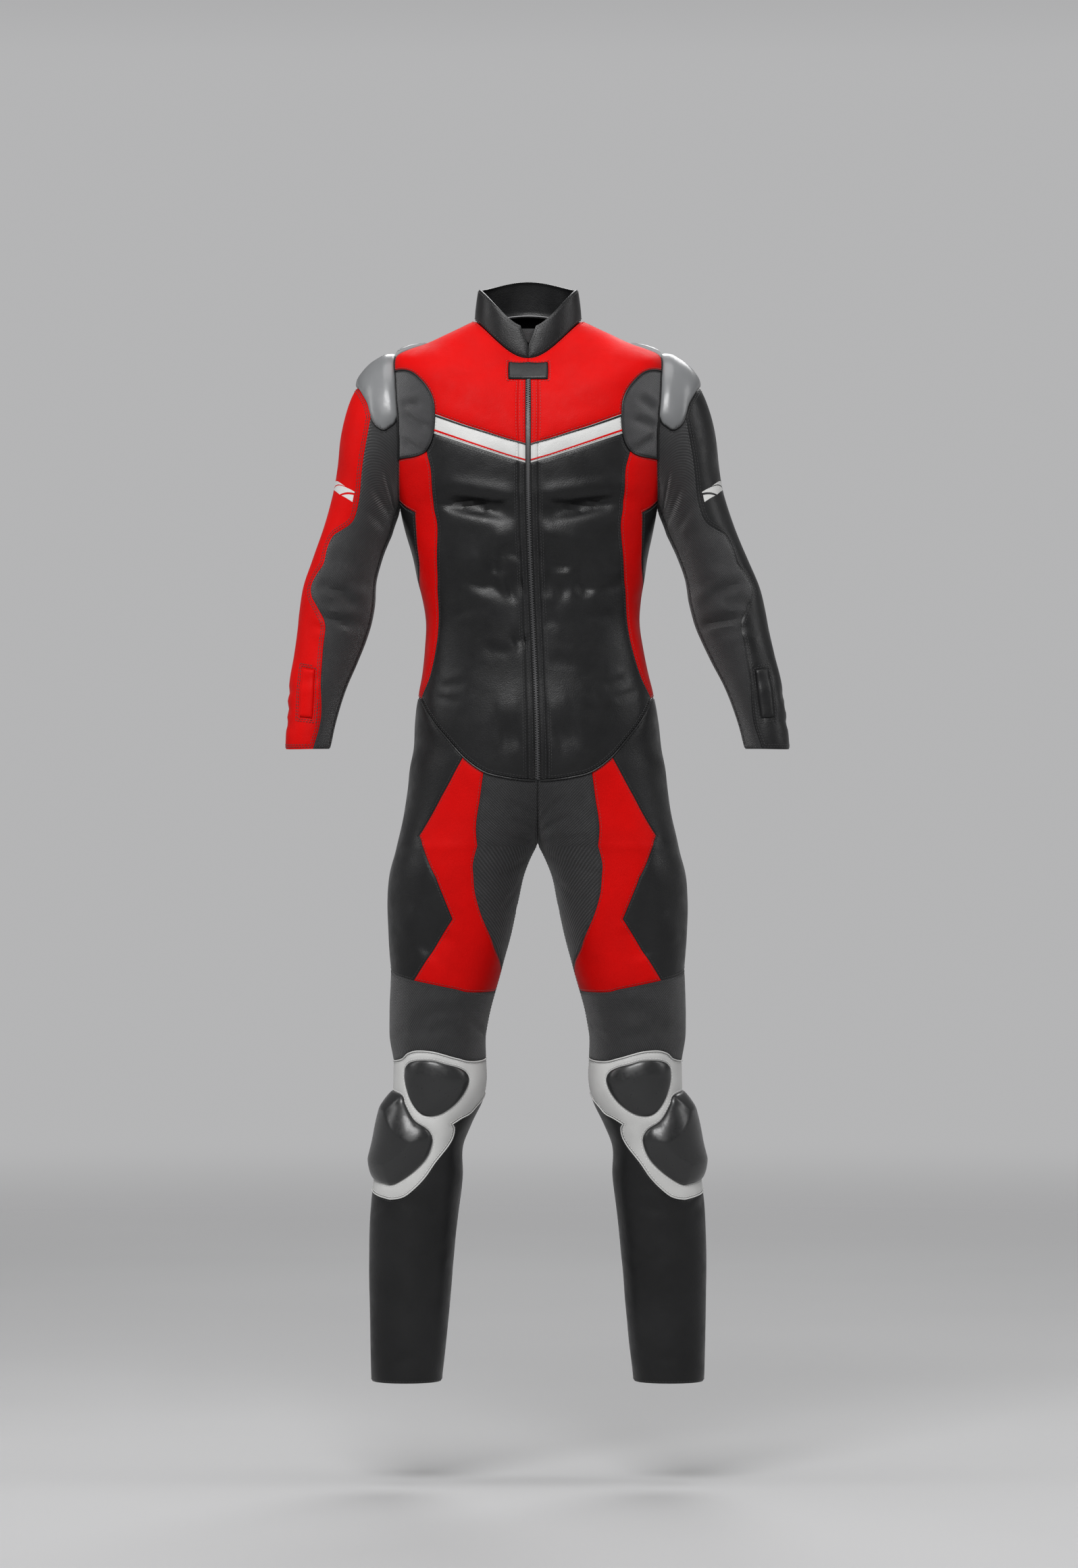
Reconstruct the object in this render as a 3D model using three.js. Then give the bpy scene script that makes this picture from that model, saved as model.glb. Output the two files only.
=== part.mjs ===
// Motorcycle race suit: a one-piece leather suit as worn, standing, arms down.
// Millimetres, +Z up, -Y is the front, +X is the wearer's left. The origin is the centre of the neck at the
// height of the shoulders. Every piece is a thin closed wall cut from one of three surfaces: body and legs,
// sleeve, collar. Neighbours share the sampled points of the seam between them and stand back from it.
import * as THREE from "three";

const WALL = 2.4; // leather with its mesh inside
const SEAM_BACK = 0.15; // each piece stands back this far from a seam, so neighbours are 0.3 apart
const HARD_WALL = 3;
const NECK = 60; // level value of the neck seam
const CROTCH = -702;
const SPLIT = -560; // level where the front starts to part into two legs
const HEM = -1422;
const CUFF = 430; // sleeve level of the cuff
const SIDE = 0.54; // share of the way round, front to back, where the side seam runs
const TAU = 2 * Math.PI;

// A table is a line of column names and rows of numbers; it is read between rows with smooth slopes.
function table(columns, rows) {
  const names = columns.split(" ");
  return rows.map((row) => Object.fromEntries(names.map((n, i) => [n, row[i]])));
}
function smooth(rows, key) {
  const sorted = [...rows].sort((a, b) => a[key] - b[key]);
  const x = sorted.map((r) => r[key]);
  const slopes = {};
  for (const n of Object.keys(sorted[0])) {
    const y = sorted.map((r) => r[n]);
    const d = y.slice(1).map((v, i) => (v - y[i]) / (x[i + 1] - x[i]));
    slopes[n] = y.map((v, i) => {
      if (i === 0) return d[0];
      if (i === y.length - 1) return d[i - 1];
      const before = x[i] - x[i - 1];
      const after = x[i + 1] - x[i];
      return (after * d[i - 1] + before * d[i]) / (before + after);
    });
  }
  return (at) => {
    const u = Math.min(Math.max(at, x[0]), x[x.length - 1]);
    let i = 0;
    while (i < x.length - 2 && u > x[i + 1]) i++;
    const h = x[i + 1] - x[i];
    const t = (u - x[i]) / h;
    const out = {};
    for (const n of Object.keys(slopes)) {
      const a = sorted[i][n];
      const b = sorted[i + 1][n];
      out[n] =
        a * (1 + 2 * t) * (1 - t) ** 2 +
        b * t * t * (3 - 2 * t) +
        h * t * (1 - t) * (slopes[n][i] * (1 - t) - slopes[n][i + 1] * t);
    }
    return out;
  };
}

// Rings of the trunk: half width, depth in front and behind, squareness, and the heights of the ring in
// front, at the side and behind. The rings tilt at the shoulders and lie level from the armpit down.
const trunkRow = smooth(
  table("level half front back square zFront zSide zBack", [
    [NECK, 72, 57, 63, 2.0, -53, 0, 12],
    [25, 105, 76, 84, 2.1, -66, -16, -4],
    [-5, 137, 92, 100, 2.2, -82, -31, -24],
    [-28, 160, 102, 110, 2.4, -100, -39, -48],
    [-46, 176, 109, 116, 2.6, -118, -47, -72],
    [-80, 184, 116, 121, 2.8, -142, -80, -104],
    [-140, 187, 122, 124, 2.8, -174, -138, -152],
    [-195, 183, 124, 122, 2.7, -208, -194, -200],
    [-253, 172.5, 123, 118, 2.5, -253, -253, -253],
    [-287, 165, 120, 113, 2.4, -287, -287, -287],
    [-322, 156, 116, 108, 2.4, -322, -322, -322],
    [-349, 151.5, 112, 104, 2.3, -349, -349, -349],
    [-379, 145.5, 108, 100, 2.3, -379, -379, -379],
    [-405, 143, 106, 99, 2.3, -405, -405, -405],
    [-440, 146, 106, 102, 2.3, -440, -440, -440],
    [-478, 152, 108, 108, 2.3, -478, -478, -478],
    [-504, 158, 111, 114, 2.3, -504, -504, -504],
    [-540, 163, 114, 121, 2.3, -540, -540, -540],
    [-576, 166, 115, 126, 2.2, -576, -576, -576],
    [-601, 171, 115, 128, 2.2, -601, -601, -601],
    [-631, 174, 114, 128, 2.2, -631, -631, -631],
    [-666, 179, 112, 127, 2.2, -666, -666, -666],
    [CROTCH, 188, 108, 124, 2.2, CROTCH, CROTCH, CROTCH],
  ]),
  "level",
);
// Rings of one leg: outer and inner edge from the middle of the suit, depth in front and behind.
const legRow = smooth(
  table("level outer inner front back", [
    [SPLIT, 165, 0, 95, 112],
    [CROTCH, 188, 0, 98, 106],
    [-711, 190, 5, 97, 104],
    [-741, 198, 18, 95, 100],
    [-777, 201, 26, 92, 96],
    [-827, 199.5, 37, 88, 90],
    [-870, 197, 48.5, 84, 85],
    [-935, 198.5, 65.7, 78, 76],
    [-961, 198, 69.6, 76, 72],
    [-988, 194, 69.4, 75, 68],
    [-1021, 193.5, 68.5, 74, 64],
    [-1040, 195, 72, 72, 62],
    [-1078, 204, 89, 67, 62],
    [-1104, 209, 99.7, 64, 64],
    [-1146, 219, 100.6, 61, 68],
    [-1196, 224, 106.6, 59, 68],
    [-1260, 226, 113, 56, 64],
    [-1330, 225, 119, 52, 56],
    [HEM, 223.5, 128.5, 48, 47],
  ]),
  "level",
);
// Rings of a sleeve: the outer and the inner end of each ring in the front view, its middle and half depth
// front to back. The rings fan about the armpit. Level 0 is the armhole itself.
const sleeveRow = smooth(
  table("level outX outZ inX inZ mid deep", [
    [14, 192, -51, 173.2, -255, 0, 67],
    [30, 208, -61, 174, -258, 0, 66],
    [48, 222, -77, 175, -261, 0, 65],
    [70, 236, -102, 177, -266, 0, 63],
    [92, 246, -132, 179, -271, 0, 61],
    [112, 252, -162, 182, -279, 0, 59],
    [134, 255.5, -196, 185, -288, 0, 57],
    [160, 262, -233, 190, -299, -1, 55],
    [188, 276, -280, 198, -318, -2, 53],
    [218, 293, -324, 207, -348, -4, 52],
    [248, 306, -360, 211, -381, -7, 51],
    [272, 312, -391, 217, -408, -10, 49],
    [294, 315, -414, 224, -428, -14, 47],
    [326, 321, -448, 238, -460, -20, 44],
    [358, 328, -482, 252, -490, -27, 41],
    [388, 332, -517, 263, -520, -33, 37],
    [410, 334, -546, 271, -548, -38, 34],
    [CUFF, 337, -575, 277, -575, -42, 32],
  ]),
  "level",
);
const collarTop = { half: 67, front: 51, back: 58, zFront: -12, zSide: 42, zBack: 57 };
// The wearer stands with the hips a little to one side of the neck.
const LEAN = { across: 12.6, from: -200, to: -612 };
function lean(z) {
  const t = Math.min(Math.max((LEAN.from - z) / (LEAN.from - LEAN.to), 0), 1);
  return LEAN.across * t * t * (3 - 2 * t);
}

// A point of an oval with a squareness of 2 for an ellipse and more for a boxier one.
function oval(angle, half, front, back, square) {
  const deep = Math.cos(angle) > 0 ? front : back;
  const r =
    (Math.abs(Math.sin(angle) / half) ** square + Math.abs(Math.cos(angle) / deep) ** square) **
    (-1 / square);
  return [r * Math.sin(angle), -r * Math.cos(angle)];
}
// The largest folds of the worn leather: troughs between two places of a surface, with depth and half width.
const folds = {
  body: table("p q toP toQ deep wide", [
    [0.08, -262, 0.24, -250, 4.5, 9],
    [0.06, -336, 0.17, -330, 4, 9],
    [0.13, -362, 0.25, -350, 4.5, 9],
    [0.73, -386, 1, -394, 4, 10],
    [0.7, -430, 0.95, -436, 4, 10],
    [0.63, -986, 0.86, -992, 4.5, 9],
    [0.68, -1018, 0.93, -1012, 4, 9],
  ]),
  sleeve: table("p q toP toQ deep wide", [
    [1.3, 246, 2.3, 252, 4, 8],
    [1.5, 272, 2.5, 276, 3.5, 8],
  ]),
};
const PER_PARAMETER = { body: 480, sleeve: 52 }; // mm the first parameter covers
function troughAt(surface, p, q) {
  let sum = 0;
  for (const fold of folds[surface]) {
    const along = [(fold.toP - fold.p) * PER_PARAMETER[surface], fold.toQ - fold.q];
    const here = [(p - fold.p) * PER_PARAMETER[surface], q - fold.q];
    const share = (along[0] * here[0] + along[1] * here[1]) / (along[0] ** 2 + along[1] ** 2);
    const t = Math.min(Math.max(share, 0), 1);
    const off = Math.hypot(here[0] - t * along[0], here[1] - t * along[1]) / fold.wide;
    sum += fold.deep * (0.4 + 0.6 * Math.sin(Math.PI * t)) * Math.exp(-off * off);
  }
  return sum;
}
// The body and one leg. s runs from 0 at the front middle (the inseam on a leg) round the outside to 1 at
// the back middle (the inseam again); beyond those it mirrors on the trunk and carries on round a leg.
function body(s, level) {
  let side = 1;
  let at = s;
  if (level > CROTCH) {
    if (at < 0) {
      at = -at;
      side = -1;
    } else if (at > 1) {
      at = 2 - at;
      side = -1;
    }
  }
  const row = trunkRow(level);
  const share = Math.min(Math.max((SPLIT - level) / (SPLIT - CROTCH), 0), 1);
  const split = level <= CROTCH ? 1 : 1 - Math.sqrt(1 - share * share);
  let [x, y] = oval(Math.PI * at, row.half, row.front, row.back, row.square);
  const frontness = Math.cos(Math.PI * at);
  const end = frontness > 0 ? row.zFront : row.zBack;
  let z = row.zSide + (end - row.zSide) * frontness * frontness;
  const trough = troughAt("body", at, level);
  const sunk = 1 - trough / Math.hypot(x, y);
  x *= sunk;
  y *= sunk;
  if (split > 0) {
    const leg = legRow(level);
    if (level > CROTCH) leg.inner = 0;
    const half = (leg.outer - leg.inner) / 2;
    const turn = TAU * at;
    const deep = Math.sin(turn) > 0 ? leg.front : leg.back;
    const round = (Math.abs(Math.cos(turn) / half) ** 2.1 + Math.abs(Math.sin(turn) / deep) ** 2.1) ** (-1 / 2.1);
    const r = round - trough;
    x = (1 - split) * x + split * (leg.inner + half - r * Math.cos(turn));
    y = (1 - split) * y + split * -r * Math.sin(turn);
    z = level;
  }
  return [side * x, y, z];
}
// Where the armhole runs on the body. The turn is 0 at the top, half way at the armpit, and a quarter in front.
const ARMHOLE = { high: -46, low: -253, wide: 0.119 };
function armholeAt(turn) {
  const middle = (ARMHOLE.high + ARMHOLE.low) / 2;
  const reach = (ARMHOLE.high - ARMHOLE.low) / 2;
  return [0.5 - ARMHOLE.wide * Math.sin(turn), middle + reach * Math.cos(turn)];
}
function ringPoint(row, turn, sunk) {
  const mx = (row.outX + row.inX) / 2;
  const mz = (row.outZ + row.inZ) / 2;
  return [
    mx + ((row.outX - row.inX) / 2) * sunk * Math.cos(turn),
    row.mid - row.deep * sunk * Math.sin(turn),
    mz + ((row.outZ - row.inZ) / 2) * sunk * Math.cos(turn),
  ];
}
function sleeve(turn, level) {
  const first = 14;
  if (level >= first) return ringPoint(sleeveRow(level), turn, 1 - troughAt("sleeve", turn, level) / 50);
  const a = body(...armholeAt(turn));
  const b = ringPoint(sleeveRow(first), turn, 1);
  const t = Math.max(level, 0) / first;
  return a.map((v, i) => v + (b[i] - v) * t);
}
function collar(s, rise) {
  const base = body(s, NECK);
  const [x, y] = oval(Math.PI * s, collarTop.half, collarTop.front, collarTop.back, 2);
  const frontness = Math.cos(Math.PI * s);
  const end = frontness > 0 ? collarTop.zFront : collarTop.zBack;
  const top = [x, y, collarTop.zSide + (end - collarTop.zSide) * frontness * frontness];
  return base.map((v, i) => v + (top[i] - v) * rise);
}
const surfaces = { body, sleeve, collar };

// The parameters whose point shows at x, z in the front view of the wearer's left side.
function seenAt(surface, x, z, start) {
  const f = surfaces[surface];
  let [p, q] = start;
  const dp = surface === "sleeve" ? 1e-3 : 2e-4;
  const dq = 0.2;
  for (let i = 0; i < 60; i++) {
    const here = f(p, q);
    const ex = x - here[0];
    const ez = z - here[2];
    if (Math.hypot(ex, ez) < 1e-4) break;
    const a = f(p + dp, q);
    const b = f(p, q + dq);
    const xp = (a[0] - here[0]) / dp;
    const zp = (a[2] - here[2]) / dp;
    const xq = (b[0] - here[0]) / dq;
    const zq = (b[2] - here[2]) / dq;
    const det = xp * zq - xq * zp;
    const down = 0.6;
    p += (down * (ex * zq - xq * ez)) / det;
    q += (down * (xp * ez - ex * zp)) / det;
    if (surface === "body") p = Math.min(Math.max(p, 0.0005), 0.4999);
    else p = Math.min(Math.max(p, 0.02), Math.PI - 0.02);
    q = surface === "body" ? Math.min(Math.max(q, HEM), NECK) : Math.min(Math.max(q, 0.1), CUFF);
  }
  return [p, q];
}

// Seams. Each is a named line of parameters with its ends and joints marked; gaps longer than the step are
// filled in with even shares, so all pieces along it use the same points.
const seams = {};
function seam(name, surface, marks, step = 34) {
  const points = [];
  const at = {};
  marks.forEach(([p, q, label], i) => {
    if (i > 0) {
      const [lastP, lastQ] = marks[i - 1];
      const a = surfaces[surface](lastP, lastQ);
      const b = surfaces[surface](p, q);
      const n = Math.max(1, Math.round(Math.hypot(a[0] - b[0], a[1] - b[1], a[2] - b[2]) / step));
      for (let k = 1; k < n; k++) points.push([lastP + ((p - lastP) * k) / n, lastQ + ((q - lastQ) * k) / n]);
    }
    if (label) at[label] = points.length;
    points.push([p, q]);
  });
  seams[name] = { points, at };
}
function run(name, from, to) {
  const { points, at } = seams[name];
  const a = at[from];
  const b = at[to];
  if (a === undefined || b === undefined) throw new Error(`${name} has no mark ${from} or ${to}`);
  return a <= b ? points.slice(a, b + 1) : points.slice(b, a + 1).reverse();
}
// A line through places seen in the front view, as rows of x, z and a mark.
function seen(surface, rows, start) {
  let last = start;
  return rows.map(([x, z, label]) => {
    last = seenAt(surface, x, z, last);
    return [...last, label];
  });
}
function marked(point, label) {
  return [point[0], point[1], label];
}
// The turn of the armhole, on its front, at a height.
function armholeTurn(z) {
  let low = 0.02;
  let high = Math.PI - 0.02;
  for (let i = 0; i < 50; i++) {
    const mid = (low + high) / 2;
    if (body(...armholeAt(mid))[2] > z) low = mid;
    else high = mid;
  }
  return (low + high) / 2;
}

// The neck and the closing in front.
const PLACKET = 12.5;
const ZIP = 3.5;
const TAB = { half: 26, top: -60, bottom: -84 };
const front = (x, z, start = [0.1, -30]) => seenAt("body", x, z, start);
const zipFoot = -616.5;
seam("neck", "body", [
  [0, NECK, "front"],
  [0.25, NECK],
  [0.5, NECK, "shoulder"],
  [0.75, NECK],
  [1, NECK, "back"],
], 24);
const tabTop = front(0.4, TAB.top, [0.01, 40]);
const tabCorner = front(TAB.half, TAB.top);
const tabFoot = front(TAB.half, TAB.bottom);
seam("tab", "body", [
  [0, tabTop[1], "top"],
  marked(tabCorner),
  marked(tabFoot),
  marked(front(PLACKET, TAB.bottom), "placket"),
  marked(front(ZIP, TAB.bottom), "zip"),
  [0, front(0.4, TAB.bottom)[1], "foot"],
], 12);
seam("above tab", "body", [[0, NECK, "neck"], [0, tabTop[1], "tab"]]);
const straight = (x, from, to, marks) => {
  const heights = [from, ...marks.map((m) => m[0]), to];
  return seen("body", heights.map((z, i) => [x, z, i === 0 ? "top" : i > marks.length ? "foot" : marks[i - 1][1]]), [0.03, 0]);
};
seam("placket", "body", straight(PLACKET, TAB.bottom, zipFoot + 0.2, [[-168, "yoke"], [-194, "band"]]), 36);
seam("zip", "body", straight(ZIP, TAB.bottom, zipFoot, []), 36);

// The armhole, with a mark at every seam that ends on it, on the body and on the sleeve.
const turnAt = {
  tip: 0.3,
  panelTop: armholeTurn(-70),
  cup: armholeTurn(-131),
  panelFoot: armholeTurn(-189),
  under: armholeTurn(-243),
  stripFront: (162 * Math.PI) / 180,
};
const turns = [
  [0, "top"],
  ...Object.entries(turnAt).map(([n, v]) => [v, n]),
  ...Object.entries(turnAt).filter(([n]) => n !== "panelTop" && n !== "panelFoot").map(([n, v]) => [TAU - v, `${n} behind`]),
  [TAU - armholeTurn(-165), "yoke behind"],
  [TAU, "round"],
].sort((a, b) => a[0] - b[0]);
const armholeStep = 0.24;
const filled = turns.flatMap(([turn, label], i) => {
  if (i === turns.length - 1) return [[turn, label]];
  const gap = turns[i + 1][0] - turn;
  const n = Math.max(1, Math.round(gap / armholeStep));
  return Array.from({ length: n }, (_, k) => [turn + (gap * k) / n, k === 0 ? label : undefined]);
});
seam("armhole", "body", filled.map(([turn, label]) => [...armholeAt(turn), label]), Infinity);
seams["armhole on sleeve"] = { points: filled.map(([turn]) => [turn, 0]), at: seams.armhole.at };

// The stretch panel in front of the armhole, the yoke and the light band across the chest.
seam("armhole panel", "body", [
  marked(armholeAt(turnAt.panelTop), "top"),
  ...seen("body", [
    [159, -72], [143, -84], [131, -100], [125.5, -115], [124.3, -131, "yoke"], [124.5, -144],
    [126, -157, "band"], [129.5, -170], [136.5, -179.5, "side"], [150, -186],
  ], [0.35, -60]),
  marked(armholeAt(turnAt.panelFoot), "foot"),
]);
const yokeEdge = run("armhole panel", "yoke", "yoke")[0];
const bandEdge = run("armhole panel", "band", "band")[0];
seam("yoke foot", "body", [
  marked(run("placket", "yoke", "yoke")[0], "placket"),
  ...seen("body", [[50, -157], [88, -144.5]], [0.1, -100]),
  marked(yokeEdge, "panel"),
]);
seam("band foot", "body", [
  marked(run("placket", "band", "band")[0], "placket"),
  ...seen("body", [[50, -182.5], [88, -170]], [0.1, -150]),
  marked(bandEdge, "panel"),
]);
// The shoulder: a ridge seam that opens into the tip of the hard cup.
const ridge = () => {
  let low = -30;
  let high = 20;
  for (let i = 0; i < 40; i++) {
    const mid = (low + high) / 2;
    if (body(0.5, mid)[0] > 134) low = mid;
    else high = mid;
  }
  return low;
};
const tipLevel = ridge();
seam("shoulder", "body", [[0.5, NECK, "neck"], [0.5, 25], [0.5, tipLevel, "tip"]], 30);
seam("tip front", "body", [[0.5, tipLevel, "tip"], marked(armholeAt(turnAt.tip), "armhole")]);
seam("tip back", "body", [[0.5, tipLevel, "tip"], marked(armholeAt(TAU - turnAt.tip), "armhole")]);

// Down the sides and across the waist.
const hip = -506;
const underarm = -372;
seam("side", "body", [
  [SIDE, underarm, "under"],
  [SIDE, hip, "hip"],
  [SIDE, -750, "seat"],
  [SIDE, -866, "thigh"],
  [SIDE, -960, "knee back"],
  [SIDE, -994, "frame top"],
  [SIDE, -1032, "slider top"],
  [SIDE, -1060],
  [SIDE, -1090],
  [SIDE, -1120],
  [SIDE, -1148, "slider foot"],
  [SIDE, -1163, "frame foot"],
  [SIDE, HEM, "hem"],
], 38);
const panelSide = run("armhole panel", "side", "side")[0];
const waistSide = front(154.5, -507.5, [0.35, -500]);
seam("front side", "body", [
  marked(panelSide, "panel"),
  ...seen("body", [
    [129.5, -207], [127, -253], [122.5, -283], [125, -345], [126, -368], [127, -409], [131, -436], [142, -478],
  ], [0.3, -200]),
  marked(waistSide, "waist"),
]);
seam("underarm front", "body", [
  marked(armholeAt(turnAt.under), "armhole"),
  ...seen("body", [[152, -260], [151, -299], [149.5, -340]], [0.36, -260]),
  [SIDE, underarm, "foot"],
]);
seam("underarm back", "body", [
  marked(armholeAt(TAU - turnAt.under), "armhole"),
  [0.645, -262],
  [0.625, -300],
  [0.59, -340],
  [SIDE, underarm, "foot"],
]);
seam("waist", "body", [
  [SIDE, hip, "hip"],
  marked(waistSide, "side"),
  ...seen("body", [
    [145, -527], [125, -555], [99, -585, "thigh out"], [72, -605, "thigh in"], [47, -612], [24, -615.5],
    [PLACKET, zipFoot + 0.2, "placket"], [ZIP, zipFoot, "zip"],
  ], [0.33, -520]),
  [0, zipFoot, "middle"],
]);
seam("waist back", "body", [[SIDE, hip, "side"], [0.7, -512], [0.85, -520], [1, -523, "middle"]]);
seam("yoke back", "body", [
  marked(armholeAt(TAU - armholeTurn(-165)), "armhole"),
  [0.75, -158],
  [0.88, -160],
  [1, -162, "middle"],
]);
seam("centre back", "body", [[1, -523, "waist"], [1, -666], [1, -690], [1, CROTCH, "crotch"]]);
seam("centre front", "body", [[0, zipFoot, "waist"], [0, -650], [0, -675], [0, -692], [0, CROTCH, "crotch"]]);

// Legs. The inseam is written once for the front pieces and once, a whole turn on, for those behind.
const inseamMarks = [
  [CROTCH, "crotch"],
  [-711],
  [-741],
  [-790, "seat"],
  [-875, "panel foot"],
  [-899, "thigh"],
  [-960, "knee back"],
  [-989, "frame top"],
  [-1036, "frame foot"],
  [HEM, "hem"],
];
seam("inseam", "body", inseamMarks.map(([z, label]) => [0, z, label]), 40);
seam("inseam behind", "body", inseamMarks.map(([z, label]) => [1, z, label]), 40);
const legStart = [0.25, -800];
seam("inner panel", "body", [
  marked(run("waist", "thigh in", "thigh in")[0], "waist"),
  ...seen("body", [
    [76.5, -638], [82, -680], [84.6, -721], [85, -745], [82, -771], [73, -800], [62, -826], [54, -848],
  ], [0.15, -640]),
  [0, -875, "foot"],
]);
seam("red out", "body", [
  marked(run("waist", "thigh out", "thigh out")[0], "waist"),
  ...seen("body", [[128, -638], [158, -690], [135, -746], [113, -801, "notch"], [139, -842]], [0.25, -620]),
  marked(front(165, -883, legStart), "thigh"),
]);
seam("thigh", "body", [
  [0, -899, "inseam"],
  ...seen("body", [[87, -899], [111, -894]], [0.15, -899]),
  marked(front(165, -883, legStart), "red"),
  [SIDE, -866, "side"],
]);
seam("knee frame top", "body", [
  [0, -989, "inseam"],
  ...seen("body", [[86.4, -992], [108, -987], [125, -982], [141, -978], [160, -977], [173, -981], [184, -990]], [0.12, -990]),
  [SIDE, -994, "side"],
]);
seam("knee frame foot", "body", [
  [0, -1036, "inseam"],
  ...seen("body", [
    [80, -1050], [90, -1061], [101.7, -1067], [114, -1074.6], [111.6, -1079], [113, -1091], [119.7, -1104],
    [137, -1126], [150, -1145], [163, -1159], [178, -1171], [193.5, -1175], [205, -1173.6],
  ], [0.1, -1050]),
  [SIDE, -1163, "side"],
]);
seam("slider edge", "body", [
  [SIDE, -1032, "top"],
  ...seen("body", [
    [184.5, -1036], [178, -1047.6], [172, -1059], [163, -1071], [150, -1079], [143, -1086], [139.5, -1096],
    [143, -1110], [151, -1124], [166.5, -1139], [183.6, -1151], [195, -1156], [205, -1155],
  ], [0.45, -1036]),
  [SIDE, -1148, "foot"],
]);
seam("knee cup edge", "body", seen("body", [
  [177, -1000, "start"], [172, -993.6], [160, -990], [139.5, -990], [123, -994.5], [106, -999], [95.4, -1005],
  [91, -1014], [93.6, -1026], [101.7, -1039.5], [113, -1051], [128.7, -1061], [143, -1064], [155, -1061],
  [165, -1051], [172, -1038], [176.5, -1023], [178, -1011],
], [0.4, -1000]));
seam("seat foot", "body", [[SIDE, -750, "side"], [0.75, -768], [1, -790, "inseam"]], 40);
seam("knee back", "body", [[SIDE, -960, "side"], [1, -960, "inseam"]], 40);
seam("hem front", "body", [[0, HEM, "inseam"], [SIDE, HEM, "side"]], 36);
seam("hem back", "body", [[SIDE, HEM, "side"], [1, HEM, "inseam"]], 36);

// Sleeves.
const cupMarks = seen("sleeve", [
  [180, -143], [192, -150], [203, -144], [210, -131, "seam"], [215, -114], [222, -101],
], [1.9, 6]);
const cupOuter = (() => {
  // the level at which the outermost line of the sleeve is at the height where the cup ends
  let low = 14;
  let high = 90;
  for (let i = 0; i < 40; i++) {
    const mid = (low + high) / 2;
    if (sleeve(0, mid)[2] > -90) low = mid;
    else high = mid;
  }
  return low;
})();
seam("cup edge", "sleeve", [
  [turnAt.cup, 0, "armhole"],
  ...cupMarks,
  [0, cupOuter, "outer"],
  ...[...cupMarks].reverse().map(([t, v]) => [-t, v]),
  [-turnAt.cup, 0, "armhole behind"],
], 28);
seam("sleeve front", "sleeve", [
  marked(cupMarks[3], "cup"),
  ...seen("sleeve", [
    [215, -157.5], [219.6, -184], [224, -225], [231, -262], [239, -274.5], [252, -283], [263, -290],
    [271, -305], [277, -327], [287, -341], [295, -357], [295, -370], [287, -386], [278, -405], [278, -420],
    [281, -437], [284, -465], [286, -490], [287.5, -537],
  ], [1.4, 60]),
  [1.86, CUFF, "cuff"],
], 38);
seam("strip front", "sleeve", [[turnAt.stripFront, 0, "armhole"], [turnAt.stripFront, CUFF, "cuff"]], 34);
seam("strip back", "sleeve", [[-turnAt.stripFront, 0, "armhole"], [-turnAt.stripFront, CUFF, "cuff"]], 34);
seam("cuff", "sleeve", [
  [-turnAt.stripFront, CUFF, "strip back"],
  [0, CUFF],
  [1.86, CUFF, "seam"],
  [turnAt.stripFront, CUFF, "strip front"],
  [TAU - turnAt.stripFront, CUFF, "round"],
], 26);
seam("flap edge", "sleeve", seen("sleeve", [[294, -470, "start"], [310, -467], [314, -500], [316, -532], [299, -534], [296, -502]], [1.3, 350]));

// The collar rises from the neck seam. Its ends meet below the notch and part above it.
const NOTCH = 0.42;
const notchHalf = 0.062;
const collarBase = run("neck", "front", "back").map(([s]) => s);
const collarRound = [...collarBase, ...collarBase.slice(0, -1).reverse().map((s) => 2 - s)].slice(1, -1);

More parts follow.
